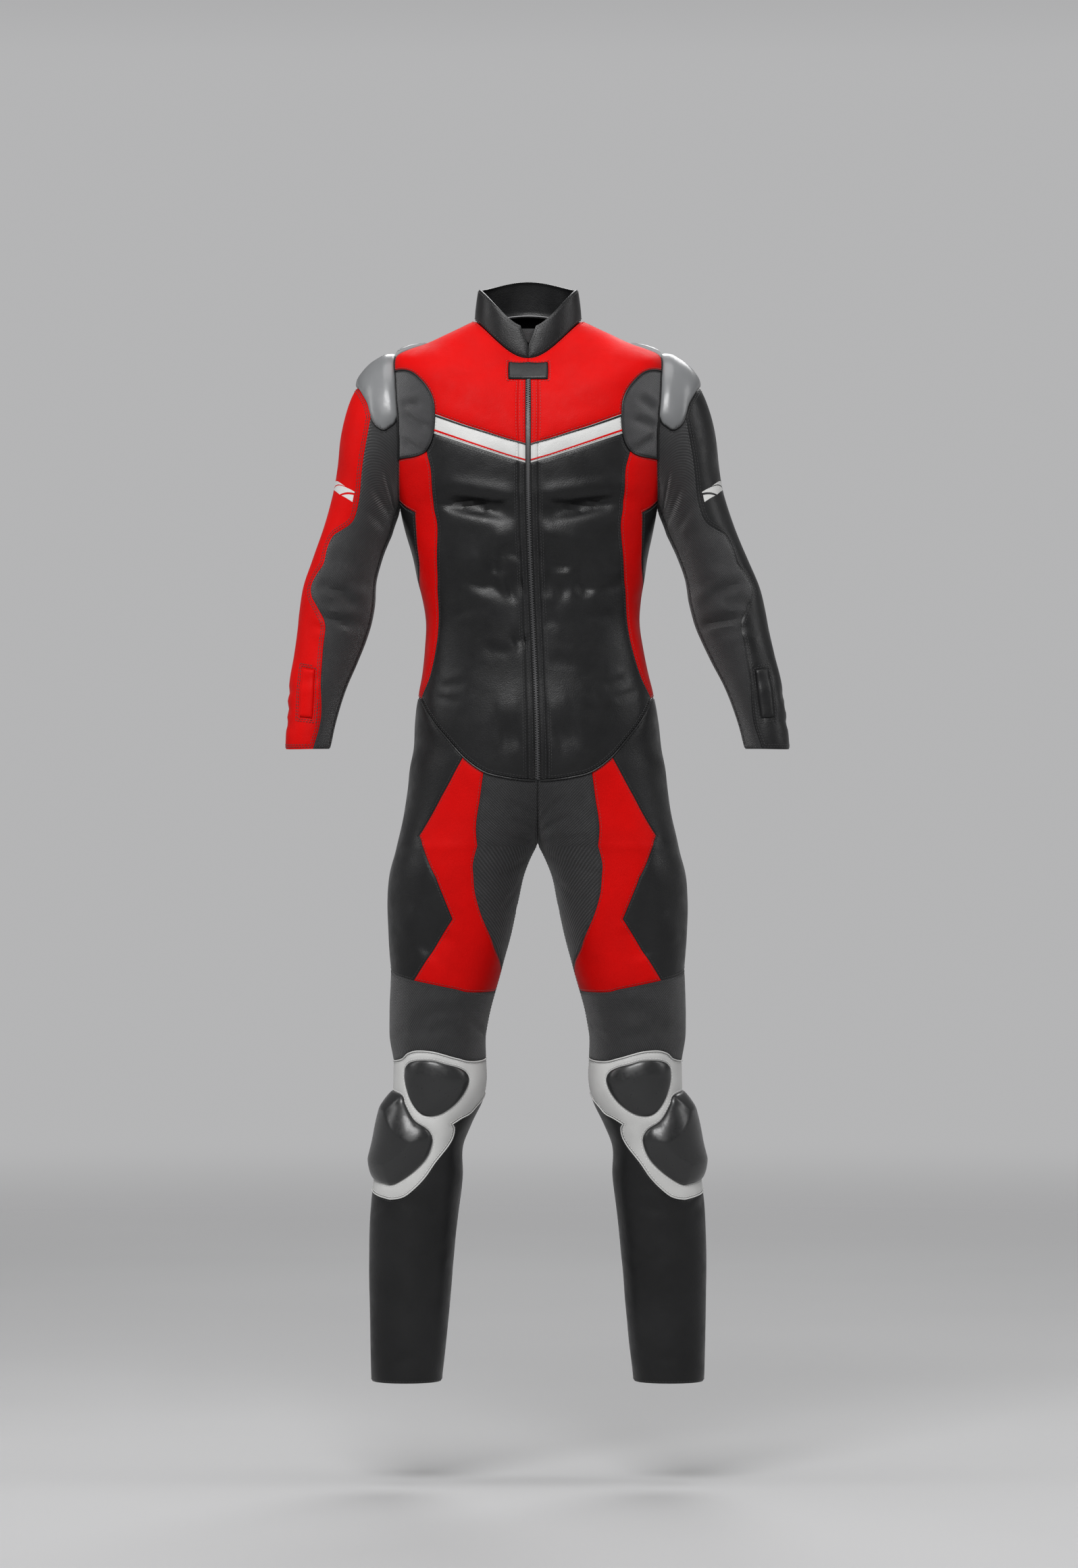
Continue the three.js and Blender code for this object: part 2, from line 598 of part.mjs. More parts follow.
// Thin walls. The outline is laid out flat in mm, stood back from the seams, filled with points and joined
// up as good triangles; the outer face lies on the surface, the inner one a wall's thickness inside it.
function flatScale(surface, outline) {
  const n = outline.length;
  const middle = outline.reduce(([a, b], [p, q]) => [a + p / n, b + q / n], [0, 0]);
  const f = surfaces[surface];
  const length = (a, b) => Math.hypot(a[0] - b[0], a[1] - b[1], a[2] - b[2]);
  const here = f(...middle);
  const step = 0.002;
  const rise = surface === "collar" ? 0.01 : 1;
  return [
    length(here, f(middle[0] + step, middle[1])) / step,
    length(here, f(middle[0], middle[1] + rise)) / rise,
  ];
}
function standBack(surface, loop) {
  const f = surfaces[surface];
  const n = loop.length;
  const area = loop.reduce((sum, [x, y], i) => {
    const [u, v] = loop[(i + 1) % n];
    return sum + x * v - u * y;
  }, 0);
  const turn = area > 0 ? 1 : -1;
  const dq = surface === "collar" ? 0.01 : 0.5;
  return loop.map(([p, q], i) => {
    // the surface's own lengths and skew just here
    const inward = surface === "body" && q > HEM + 1 ? -dq : dq;
    const stepQ = surface === "body" ? inward : q + dq > (surface === "collar" ? 1 : CUFF) ? -dq : dq;
    const dp = 0.002;
    const here = f(p, q);
    const mp = f(p + dp, q).map((v, k) => (v - f(p - dp, q)[k]) / (2 * dp));
    const mq = f(p, q + stepQ).map((v, k) => (v - here[k]) / stepQ);
    const pp = mp.reduce((s, v) => s + v * v, 0);
    const pq = mp.reduce((s, v, k) => s + v * mq[k], 0);
    const qq = mq.reduce((s, v) => s + v * v, 0);
    const a = Math.sqrt(pp);
    const b = pq / a;
    const c = Math.sqrt(Math.max(qq - b * b, 1e-9));
    const flat = ([u, v]) => [a * u + b * v, c * v];
    const before = loop[(i + n - 1) % n];
    const after = loop[(i + 1) % n];
    const e = flat([p - before[0], q - before[1]]);
    const g = flat([after[0] - p, after[1] - q]);
    const el = Math.hypot(...e);
    const gl = Math.hypot(...g);
    const n1 = [(-e[1] / el) * turn, (e[0] / el) * turn];
    const n2 = [(-g[1] / gl) * turn, (g[0] / gl) * turn];
    const open = Math.max(1 + n1[0] * n2[0] + n1[1] * n2[1], 0.25);
    const move = [(SEAM_BACK * (n1[0] + n2[0])) / open, (SEAM_BACK * (n1[1] + n2[1])) / open];
    const dv = move[1] / c;
    return [p + (move[0] - b * dv) / a, q + dv];
  });
}
function inside(loops, x, y) {
  let odd = false;
  for (const loop of loops)
    for (let i = 0, j = loop.length - 1; i < loop.length; j = i++) {
      const [xi, yi] = loop[i];
      const [xj, yj] = loop[j];
      if (yi > y !== yj > y && x < ((xj - xi) * (y - yi)) / (yj - yi) + xi) odd = !odd;
    }
  return odd;
}
function edgeDistance(loops, x, y) {
  let best = Infinity;
  for (const loop of loops)
    for (let i = 0, j = loop.length - 1; i < loop.length; j = i++) {
      const [ax, ay] = loop[j];
      const [bx, by] = loop[i];
      const ll = (bx - ax) ** 2 + (by - ay) ** 2 || 1e-12;
      const t = Math.min(1, Math.max(0, ((x - ax) * (bx - ax) + (y - ay) * (by - ay)) / ll));
      best = Math.min(best, Math.hypot(x - ax - t * (bx - ax), y - ay - t * (by - ay)));
    }
  return best;
}
const cross = (a, b, c) => (b[0] - a[0]) * (c[1] - a[1]) - (b[1] - a[1]) * (c[0] - a[0]);
// Triangles of an outline with holes and points inside: cut by ears, split at each point, then turned
// edge by edge until every triangle is as round as it can be.
function triangles(loops, extra) {
  const points = loops.flat().concat(extra);
  const fixed = new Set();
  let base = 0;
  for (const loop of loops) {
    loop.forEach((_, i) => fixed.add(edgeKey(base + i, base + ((i + 1) % loop.length))));
    base += loop.length;
  }
  const vectors = loops.map((loop) => loop.map(([x, y]) => new THREE.Vector2(x, y)));
  let faces = THREE.ShapeUtils.triangulateShape(vectors[0], vectors.slice(1)).map((t) => {
    const [a, b, c] = t;
    return cross(points[a], points[b], points[c]) > 0 ? [a, b, c] : [a, c, b];
  });
  for (let p = base; p < points.length; p++) {
    const i = faces.findIndex(([a, b, c]) => {
      const q = points[p];
      return cross(points[a], points[b], q) > 0 && cross(points[b], points[c], q) > 0 && cross(points[c], points[a], q) > 0;
    });
    if (i < 0) continue;
    const [a, b, c] = faces[i];
    faces.splice(i, 1, [a, b, p], [b, c, p], [c, a, p]);
    roundOff(faces, points, fixed);
  }
  roundOff(faces, points, fixed);
  return { points, faces };
}
function edgeKey(a, b) {
  return a < b ? a * 100000 + b : b * 100000 + a;
}
function roundOff(faces, points, fixed) {
  for (let round = 0; round < 40; round++) {
    const edges = new Map();
    faces.forEach((t, i) => t.forEach((a, k) => {
      const key = edgeKey(a, t[(k + 1) % 3]);
      edges.set(key, [...(edges.get(key) || []), [i, k]]);
    }));
    let turned = false;
    const touched = new Set();
    for (const [key, sides] of edges) {
      if (fixed.has(key) || sides.length !== 2) continue;
      const [[i, k], [j, m]] = sides;
      if (touched.has(i) || touched.has(j)) continue;
      const a = faces[i][k];
      const b = faces[i][(k + 1) % 3];
      const c = faces[i][(k + 2) % 3];
      const d = faces[j][(m + 2) % 3];
      if (cross(points[c], points[a], points[d]) <= 1e-9 || cross(points[d], points[b], points[c]) <= 1e-9) continue;
      if (corner(points, c, a, b) + corner(points, d, a, b) > Math.PI + 1e-9) {
        faces[i] = [c, a, d];
        faces[j] = [d, b, c];
        touched.add(i);
        touched.add(j);
        turned = true;
      }
    }
    if (!turned) break;
  }
}
function corner(points, at, a, b) {
  const [x, y] = points[at];
  const u = [points[a][0] - x, points[a][1] - y];
  const v = [points[b][0] - x, points[b][1] - y];
  return Math.acos((u[0] * v[0] + u[1] * v[1]) / (Math.hypot(...u) * Math.hypot(...v)));
}
function normalAt(surface, p, q) {
  const f = surfaces[surface];
  const dp = 0.004;
  const dq = surface === "collar" ? 0.02 : 2;
  const top = surface === "collar" ? 1 : surface === "sleeve" ? CUFF : NECK;
  const foot = surface === "body" ? HEM : 0;
  const up = Math.min(q + dq, top);
  const down = Math.max(q - dq, foot);
  const a = new THREE.Vector3(...f(p + dp, q)).sub(new THREE.Vector3(...f(p - dp, q)));
  const b = new THREE.Vector3(...f(p, up)).sub(new THREE.Vector3(...f(p, down)));
  return a.cross(b).normalize().toArray();
}
// The way out of the cloth at a point. Walls that meet at the middle or at the armhole share theirs.
function outAt(surface, p, q) {
  if (surface === "body" && (p < -0.003 || p > 1.003)) {
    const [x, y, z] = outAt(surface, p < 0 ? -p : 2 - p, q);
    return [-x, y, z];
  }
  const n = normalAt(surface, p, q);
  const atMiddle = Math.min(Math.abs(p), Math.abs(p - 1)) < 0.003;
  if (surface === "body" && atMiddle && q > CROTCH - 1) {
    if (q < CROTCH + 4) return [0, 0, -1];
    const long = Math.hypot(n[1], n[2]);
    return [0, n[1] / long, n[2] / long];
  }
  const turn = surface === "sleeve" ? (q < 1 ? p : null) : surface === "body" ? turnNear(p, q) : null;
  if (turn === null) return n;
  const a = surface === "body" ? n : normalAt("body", ...armholeAt(turn));
  const b = surface === "sleeve" ? n : normalAt("sleeve", turn, 0.5);
  return new THREE.Vector3(a[0] + b[0], a[1] + b[1], a[2] + b[2]).normalize().toArray();
}
// The turn of the armhole beside a place on the body, or null away from it.
function turnNear(s, level) {
  const across = (0.5 - s) / ARMHOLE.wide;
  const along = (level - (ARMHOLE.high + ARMHOLE.low) / 2) / ((ARMHOLE.high - ARMHOLE.low) / 2);
  return Math.abs(Math.hypot(across, along) - 1) < 0.012 ? Math.atan2(across, along) : null;
}

const BLACK = 0x17181a;
const RED = 0xd40d0d;
const WHITE = 0xdcdcda;
const GREY = 0x9a9ca0;
const DARK = 0x26272a;
const looks = {
  black_leather: { color: BLACK, roughness: 0.5, metalness: 0 },
  red_leather: { color: RED, roughness: 0.45, metalness: 0 },
  white_leather: { color: WHITE, roughness: 0.5, metalness: 0 },
  stretch: { color: DARK, roughness: 0.9, metalness: 0 },
  cup: { color: GREY, roughness: 0.35, metalness: 0 },
  dark_plastic: { color: BLACK, roughness: 0.25, metalness: 0 },
  zip_metal: { color: 0x3a3b3e, roughness: 0.4, metalness: 0.6 },
};

const suit = new THREE.Group();
// One piece: its surface, outline and holes as parameters, how far apart its points lie, its thickness, and
// how far it swells from its edge inwards, for hard parts.
function piece(name, look, surface, outline, { holes = [], step = 38, wall = WALL, swell = null, solid = false } = {}) {
  const clean = (loop) =>
    loop.filter(([p, q], i) => {
      const [a, b] = loop[(i + loop.length - 1) % loop.length];
      return Math.abs(p - a) > 1e-7 || Math.abs(q - b) > 1e-7;
    });
  const loops = [clean(outline), ...holes.map(clean)];
  const [sx, sy] = flatScale(surface, loops[0]);
  const area = (loop) =>
    loop.reduce((sum, [x, y], i) => {
      const [u, v] = loop[(i + 1) % loop.length];
      return sum + x * v - u * y;
    }, 0);
  const back = loops.map((loop, i) => {
    // a hole runs the other way round, so that standing back widens it
    const turned = i > 0 === area(loop) > 0 ? [...loop].reverse() : loop;
    return i > 0 ? widen(surface, turned) : standBack(surface, turned);
  });
  const flat = back.map((loop) => loop.map(([p, q]) => [p * sx, q * sy]));
  const extra = [];
  const xs = flat[0].map((v) => v[0]);
  const ys = flat[0].map((v) => v[1]);
  const rowStep = step * 0.87;
  let odd = 0;
  for (let y = Math.min(...ys) + rowStep / 2; y < Math.max(...ys); y += rowStep, odd ^= 1)
    for (let x = Math.min(...xs) + (odd ? step / 2 : step / 4); x < Math.max(...xs); x += step)
      if (inside(flat, x, y) && edgeDistance(flat, x, y) > step * 0.42) extra.push([x, y]);
  const { points, faces } = triangles(flat, extra);
  const n = points.length;
  const outer = [];
  const inner = [];
  for (const [x, y] of points) {
    const p = x / sx;
    const q = y / sy;
    const at = surfaces[surface](p, q);
    const normal = outAt(surface, p, q);
    const up = swell ? swell.high * Math.min(1, edgeDistance(flat, x, y) / swell.over) : 0;
    const under = solid ? -wall : up - wall;
    outer.push(...at.map((v, k) => v + normal[k] * up));
    inner.push(...at.map((v, k) => v + normal[k] * under));
  }
  const index = [];
  for (const [a, b, c] of faces) {
    index.push(a, b, c);
    index.push(n + a, n + c, n + b);
  }
  let base = 0;
  for (const loop of flat) {
    const forward = area(loop) > 0;
    loop.forEach((_, i) => {
      let a = base + i;
      let b = base + ((i + 1) % loop.length);
      // the faces lie on the left of the outline when it runs anticlockwise, and outside a hole
      const filledLeft = loop === flat[0] ? forward : !forward;
      if (!filledLeft) [a, b] = [b, a];
      // neighbours split the strip between them along the same slant
      if (outer[3 * a + 2] > outer[3 * b + 2]) index.push(a, n + a, n + b, a, n + b, b);
      else index.push(a, n + a, b, b, n + a, n + b);
    });
    base += loop.length;
  }
  const geometry = new THREE.BufferGeometry();
  geometry.setAttribute("position", new THREE.Float32BufferAttribute([...outer, ...inner], 3));
  geometry.setIndex(index);
  if (volume(geometry) < 0) flipFaces(geometry);
  const mesh = new THREE.Mesh(geometry, new THREE.MeshStandardMaterial(looks[look]));
  mesh.name = name;
  suit.add(mesh);
}
function widen(surface, loop) {
  return standBack(surface, loop).map(([p, q], i) => [2 * loop[i][0] - p, 2 * loop[i][1] - q]);
}
function volume(geometry) {
  const at = geometry.getAttribute("position");
  const index = geometry.getIndex().array;
  const v = [0, 1, 2].map(() => new THREE.Vector3());
  let sum = 0;
  for (let i = 0; i < index.length; i += 3) {
    v.forEach((p, k) => p.fromBufferAttribute(at, index[i + k]));
    sum += v[0].dot(v[1].clone().cross(v[2])) / 6;
  }
  return sum;
}
function flipFaces(geometry) {
  const index = geometry.getIndex();
  for (let i = 0; i < index.count; i += 3) {
    const b = index.getX(i + 1);
    index.setX(i + 1, index.getX(i + 2));
    index.setX(i + 2, b);
  }
}
// The same piece on the wearer's right.
function mirrored(name, look, from) {
  const geometry = suit.getObjectByName(from).geometry.clone();
  const at = geometry.getAttribute("position");
  for (let i = 0; i < at.count; i++) at.setX(i, -at.getX(i));
  flipFaces(geometry);
  const mesh = new THREE.Mesh(geometry, new THREE.MeshStandardMaterial(looks[look]));
  mesh.name = name;
  suit.add(mesh);
}
function pair(name, look, surface, outline, options = {}) {
  piece(`${name}_left`, look, surface, outline, options);
  mirrored(`${name}_right`, options.otherLook || look, `${name}_left`);
}
// A piece across the middle: its left half from middle to middle, closed by the same points mirrored.
function across(half, middle) {
  const other = [...half].reverse().map(([s, v]) => [2 * middle - s, v]);
  return [...half, ...other];
}

// The collar, its notch and the neck tab.
const collarEnd = (rise) => 0.002 + (Math.max(rise - NOTCH, 0) / (1 - NOTCH)) * notchHalf;
const rises = [0, NOTCH, 0.7, 1];
piece("collar", "black_leather", "collar", [
  ...[collarEnd(0), ...collarRound.filter((s) => s > 0.01 && s < 1.99), 2 - collarEnd(0)].map((s) => [s, 0]),
  ...rises.slice(1).map((h) => [2 - collarEnd(h), h]),
  ...[...collarRound].reverse().filter((s) => s > notchHalf + 0.02 && s < 2 - notchHalf - 0.02).map((s) => [s, 1]),
  ...[...rises].reverse().slice(0, -1).map((h) => [collarEnd(h), h]),
], { step: 26 });
piece("collar_notch", "stretch", "collar", [
  [0, NOTCH + 0.06],
  [collarEnd(0.7), 0.7],
  [collarEnd(0.92), 0.92],
  [-collarEnd(0.92), 0.92],
  [-collarEnd(0.7), 0.7],
], { step: 12 });
piece("neck_tab", "black_leather", "body", across([...run("tab", "top", "foot")].reverse(), 0), { step: 14, swell: { high: 2, over: 6 } });
piece("zip", "zip_metal", "body", across([
  ...run("tab", "foot", "zip"),
  ...run("zip", "top", "foot").slice(1),
  ...run("waist", "zip", "middle").slice(1),
], 0), { step: 40 });

// The body.
pair("placket", "black_leather", "body", [
  ...run("tab", "zip", "placket"),
  ...run("placket", "top", "foot").slice(1),
  ...run("waist", "placket", "zip").slice(1),
  ...run("zip", "foot", "top").slice(1),
], { step: 40 });
pair("yoke_front", "red_leather", "body", [
  ...run("neck", "front", "shoulder"),
  ...run("shoulder", "neck", "tip").slice(1),
  ...run("tip front", "tip", "armhole").slice(1),
  ...run("armhole", "tip", "panelTop").slice(1),
  ...run("armhole panel", "top", "yoke").slice(1),
  ...run("yoke foot", "panel", "placket").slice(1),
  ...run("placket", "yoke", "top").slice(1),
  ...run("tab", "placket", "top").slice(1),
  ...run("above tab", "tab", "neck").slice(1),
]);
pair("shoulder_tip", "cup", "body", [
  ...run("tip front", "tip", "armhole"),
  ...run("armhole", "tip", "top").slice(1),
  ...run("armhole", "round", "tip behind").slice(1),
  ...run("tip back", "armhole", "tip").slice(1),
], { step: 20, swell: { high: 3, over: 10 }, wall: HARD_WALL });
pair("chest_band", "white_leather", "body", [
  ...run("yoke foot", "placket", "panel"),
  ...run("armhole panel", "yoke", "band").slice(1),
  ...run("band foot", "panel", "placket").slice(1),
  ...run("placket", "band", "yoke").slice(1),
]);
pair("armhole_panel", "stretch", "body", [
  ...run("armhole panel", "top", "foot"),
  ...run("armhole", "panelFoot", "panelTop").slice(1),
]);
pair("front_body", "black_leather", "body", [
  ...run("band foot", "placket", "panel"),
  ...run("armhole panel", "band", "side").slice(1),
  ...run("front side", "panel", "waist").slice(1),
  ...run("waist", "side", "placket").slice(1),
  ...run("placket", "foot", "band").slice(1),
], { step: 13 });
pair("side", "red_leather", "body", [
  ...run("armhole panel", "side", "foot"),
  ...run("armhole", "panelFoot", "under").slice(1),
  ...run("underarm front", "armhole", "foot").slice(1),
  ...run("side", "under", "hip").slice(1),
  ...run("waist", "hip", "side").slice(1),
  ...run("front side", "waist", "panel").slice(1),
]);
pair("underarm", "black_leather", "body", [
  ...run("armhole", "under", "under behind"),
  ...run("underarm back", "armhole", "foot").slice(1),
  ...run("underarm front", "foot", "armhole").slice(1),
]);
piece("yoke_back", "black_leather", "body", across([
  ...run("neck", "back", "shoulder"),
  ...run("shoulder", "neck", "tip").slice(1),
  ...run("tip back", "tip", "armhole").slice(1),
  ...run("armhole", "tip behind", "yoke behind").slice(1),
  ...run("yoke back", "armhole", "middle").slice(1),
], 1));
piece("back_body", "black_leather", "body", across([
  ...run("yoke back", "middle", "armhole"),
  ...run("armhole", "yoke behind", "under behind").slice(1),
  ...run("underarm back", "armhole", "foot").slice(1),
  ...run("side", "under", "hip").slice(1),
  ...run("waist back", "side", "middle").slice(1),
], 1), { step: 17 });

// Hips and legs.
pair("seat", "black_leather", "body", [
  ...run("waist back", "side", "middle"),
  ...run("centre back", "waist", "crotch").slice(1),
  ...run("inseam behind", "crotch", "seat").slice(1),
  ...run("seat foot", "inseam", "side").slice(1),
  ...run("side", "seat", "hip").slice(1),
]);
pair("inner_panel", "stretch", "body", [
  ...run("centre front", "waist", "crotch"),
  ...run("inseam", "crotch", "panel foot").slice(1),
  ...run("inner panel", "foot", "waist").slice(1),
  ...run("waist", "thigh in", "middle").slice(1),
]);
pair("thigh_panel", "red_leather", "body", [
  ...run("waist", "thigh out", "thigh in"),
  ...run("inner panel", "waist", "foot").slice(1),
  ...run("inseam", "panel foot", "thigh").slice(1),
  ...run("thigh", "inseam", "red").slice(1),
  ...run("red out", "thigh", "waist").slice(1),
]);
pair("thigh_outer", "black_leather", "body", [
  ...run("waist", "hip", "thigh out"),
  ...run("red out", "waist", "thigh").slice(1),
  ...run("thigh", "red", "side").slice(1),
  ...run("side", "thigh", "hip").slice(1),
]);
pair("thigh_back", "black_leather", "body", [
  ...run("seat foot", "side", "inseam"),
  ...run("inseam behind", "seat", "knee back").slice(1),
  ...run("knee back", "inseam", "side").slice(1),
  ...run("side", "knee back", "seat").slice(1),
]);
pair("over_knee", "stretch", "body", [
  ...run("thigh", "inseam", "side"),
  ...run("side", "thigh", "frame top").slice(1),
  ...run("knee frame top", "side", "inseam").slice(1),
  ...run("inseam", "frame top", "thigh").slice(1),
]);
pair("knee_frame", "white_leather", "body", [
  ...run("knee frame top", "inseam", "side"),
  ...run("side", "frame top", "slider top").slice(1),
  ...run("slider edge", "top", "foot").slice(1),
  ...run("side", "slider foot", "frame foot").slice(1),
  ...run("knee frame foot", "side", "inseam").slice(1),
  ...run("inseam", "frame foot", "frame top").slice(1),
], { holes: [seams["knee cup edge"].points], step: 26 });
pair("knee_cup", "dark_plastic", "body", seams["knee cup edge"].points, { step: 18, swell: { high: 6, over: 20 }, wall: HARD_WALL });
pair("knee_slider", "dark_plastic", "body", [
  ...run("slider edge", "top", "foot"),
  ...run("side", "slider foot", "slider top").slice(1),
], { step: 20, swell: { high: 15, over: 22 }, solid: true, wall: HARD_WALL });
pair("shin", "black_leather", "body", [
  ...run("knee frame foot", "inseam", "side"),
  ...run("side", "frame foot", "hem").slice(1),
  ...run("hem front", "side", "inseam").slice(1),
  ...run("inseam", "hem", "frame foot").slice(1),
]);
pair("calf", "black_leather", "body", [
  ...run("knee back", "side", "inseam"),
  ...run("inseam behind", "knee back", "hem").slice(1),
  ...run("hem back", "inseam", "side").slice(1),
  ...run("side", "hem", "knee back").slice(1),
], { step: 17 });

// Sleeves: the wearer's left outer panel is black, the right one red.
const armholeOnSleeve = (from, to) => run("armhole on sleeve", from, to);
const before = (points) => points.map(([turn, level]) => [turn - TAU, level]);
pair("shoulder_cup", "cup", "sleeve", [
  ...before(armholeOnSleeve("cup behind", "round")),
  ...armholeOnSleeve("top", "cup").slice(1),
  ...run("cup edge", "armhole", "armhole behind").slice(1),
], { step: 24, swell: { high: 6, over: 14 }, wall: HARD_WALL });
pair("sleeve_front", "stretch", "sleeve", [
  ...armholeOnSleeve("cup", "stripFront"),
  ...run("strip front", "armhole", "cuff").slice(1),
  ...run("cuff", "strip front", "seam").slice(1),
  ...run("sleeve front", "cuff", "cup").slice(1),
  ...run("cup edge", "seam", "armhole").slice(1),
], { step: 14 });
pair("sleeve_outer", "black_leather", "sleeve", [
  ...run("cup edge", "seam", "armhole behind"),
  ...before(armholeOnSleeve("cup behind", "stripFront behind")).slice(1),
  ...run("strip back", "armhole", "cuff").slice(1),
  ...run("cuff", "strip back", "seam").slice(1),
  ...run("sleeve front", "cuff", "cup").slice(1),
], { otherLook: "red_leather", holes: [seams["flap edge"].points] });
pair("sleeve_strip", "stretch", "sleeve", [
  ...armholeOnSleeve("stripFront", "stripFront behind"),
  ...run("strip back", "armhole", "cuff").slice(1).map(([turn, level]) => [turn + TAU, level]),
  ...run("cuff", "round", "strip front").slice(1),
  ...run("strip front", "cuff", "armhole").slice(1),
]);
pair("cuff_flap", "black_leather", "sleeve", seams["flap edge"].points, { step: 22, swell: { high: 2, over: 6 }, otherLook: "red_leather" });

for (const mesh of suit.children) {
  const at = mesh.geometry.getAttribute("position");
  for (let i = 0; i < at.count; i++) at.setX(i, at.getX(i) + lean(at.getZ(i)));
}

export default suit;
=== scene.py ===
"""A one-piece motorcycle race suit, worn and standing: looks built round its fixed solids.

Every panel is a thin shell on one of three surfaces: body and legs, sleeve, collar. A panel is an outline of
seams on its surface, filled with fine points. Sizes are in millimetres and become metres when a mesh is made.
"""

import math

import bpy
import numpy as np
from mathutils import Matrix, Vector
from mathutils.geometry import delaunay_2d_cdt
from mathutils.kdtree import KDTree
from mathutils.noise import noise


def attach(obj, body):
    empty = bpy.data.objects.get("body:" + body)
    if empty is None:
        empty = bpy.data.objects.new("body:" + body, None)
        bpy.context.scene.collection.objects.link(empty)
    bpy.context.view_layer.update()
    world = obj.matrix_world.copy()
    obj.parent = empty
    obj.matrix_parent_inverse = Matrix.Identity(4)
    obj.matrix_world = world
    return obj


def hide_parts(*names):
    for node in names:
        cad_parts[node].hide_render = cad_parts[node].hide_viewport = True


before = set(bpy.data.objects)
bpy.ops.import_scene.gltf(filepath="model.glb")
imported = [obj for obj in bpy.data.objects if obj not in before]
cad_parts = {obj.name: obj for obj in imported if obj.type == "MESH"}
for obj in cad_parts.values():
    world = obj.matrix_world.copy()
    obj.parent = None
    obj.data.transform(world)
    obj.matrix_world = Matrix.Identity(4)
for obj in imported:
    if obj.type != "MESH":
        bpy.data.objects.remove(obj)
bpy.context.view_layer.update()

bl_info = {
    "name": "Motorcycle race suit",
    "version": (1, 0, 0),
    "blender": (4, 5, 0),
    "location": "3D View > Sidebar > Race suit",
    "description": "Builds the panels, hard parts, seams and stage of a worn leather race suit",
    "category": "Object",
}

MM = 0.001
TAU = 2 * math.pi

# Levels and places on the suit, from the middle of the neck at the height of the shoulders.
NECK = 60
CROTCH = -702
SPLIT = -560
HEM = -1422
CUFF = 430
SIDE = 0.54
ARMHOLE_HIGH = -46
ARMHOLE_LOW = -253
ARMHOLE_WIDE = 0.119
PLACKET = 12.5
ZIP = 3.5
CHEVRON_SLOPE = 0.3
TAB_HALF = 26
TAB_TOP = -60
TAB_FOOT = -84
ZIP_FOOT = -616.5
HIP = -506
UNDERARM = -372
NOTCH = 0.42
NOTCH_HALF = 0.062


def table(columns, rows):
    names = columns.split()
    return {name: np.array([row[i] for row in rows], float) for i, name in enumerate(names)}


def smooth(columns, key):
    """A reader of a table between its rows, with smooth slopes."""
    order = np.argsort(columns[key])
    x = columns[key][order]
    step = np.diff(x)
    values, slopes = {}, {}
    for name, column in columns.items():
        y = column[order]
        rise = np.diff(y) / step
        middle = (step[1:] * rise[:-1] + step[:-1] * rise[1:]) / (step[:-1] + step[1:])
        values[name] = y
        slopes[name] = np.concatenate([rise[:1], middle, rise[-1:]])

    def read(at):
        u = np.clip(at, x[0], x[-1])
        i = np.clip(np.searchsorted(x, u, side="right") - 1, 0, len(x) - 2)
        h = step[i]
        t = (u - x[i]) / h
        out = {}
        for name in values:
            a, b = values[name][i], values[name][i + 1]
            p, q = slopes[name][i], slopes[name][i + 1]
            out[name] = (
                a * (1 + 2 * t) * (1 - t) ** 2
                + b * t * t * (3 - 2 * t)
                + h * t * (1 - t) * (p * (1 - t) - q * t)
            )
        return out

    return read


# Rings of the trunk, tilted at the shoulders and level from the armpit down.
TRUNK = smooth(
    table(
        "level half front back square z_front z_side z_back",
        [
            [NECK, 72, 57, 63, 2.0, -53, 0, 12],
            [25, 105, 76, 84, 2.1, -66, -16, -4],
            [-5, 137, 92, 100, 2.2, -82, -31, -24],
            [-28, 160, 102, 110, 2.4, -100, -39, -48],
            [-46, 176, 109, 116, 2.6, -118, -47, -72],
            [-80, 184, 116, 121, 2.8, -142, -80, -104],
            [-140, 187, 122, 124, 2.8, -174, -138, -152],
            [-195, 183, 124, 122, 2.7, -208, -194, -200],
            [-253, 172.5, 123, 118, 2.5, -253, -253, -253],
            [-287, 165, 120, 113, 2.4, -287, -287, -287],
            [-322, 156, 116, 108, 2.4, -322, -322, -322],
            [-349, 151.5, 112, 104, 2.3, -349, -349, -349],
            [-379, 145.5, 108, 100, 2.3, -379, -379, -379],
            [-405, 143, 106, 99, 2.3, -405, -405, -405],
            [-440, 146, 106, 102, 2.3, -440, -440, -440],
            [-478, 152, 108, 108, 2.3, -478, -478, -478],
            [-504, 158, 111, 114, 2.3, -504, -504, -504],
            [-540, 163, 114, 121, 2.3, -540, -540, -540],
            [-576, 166, 115, 126, 2.2, -576, -576, -576],
            [-601, 171, 115, 128, 2.2, -601, -601, -601],
            [-631, 174, 114, 128, 2.2, -631, -631, -631],
            [-666, 179, 112, 127, 2.2, -666, -666, -666],
            [CROTCH, 188, 108, 124, 2.2, CROTCH, CROTCH, CROTCH],
        ],
    ),
    "level",
)
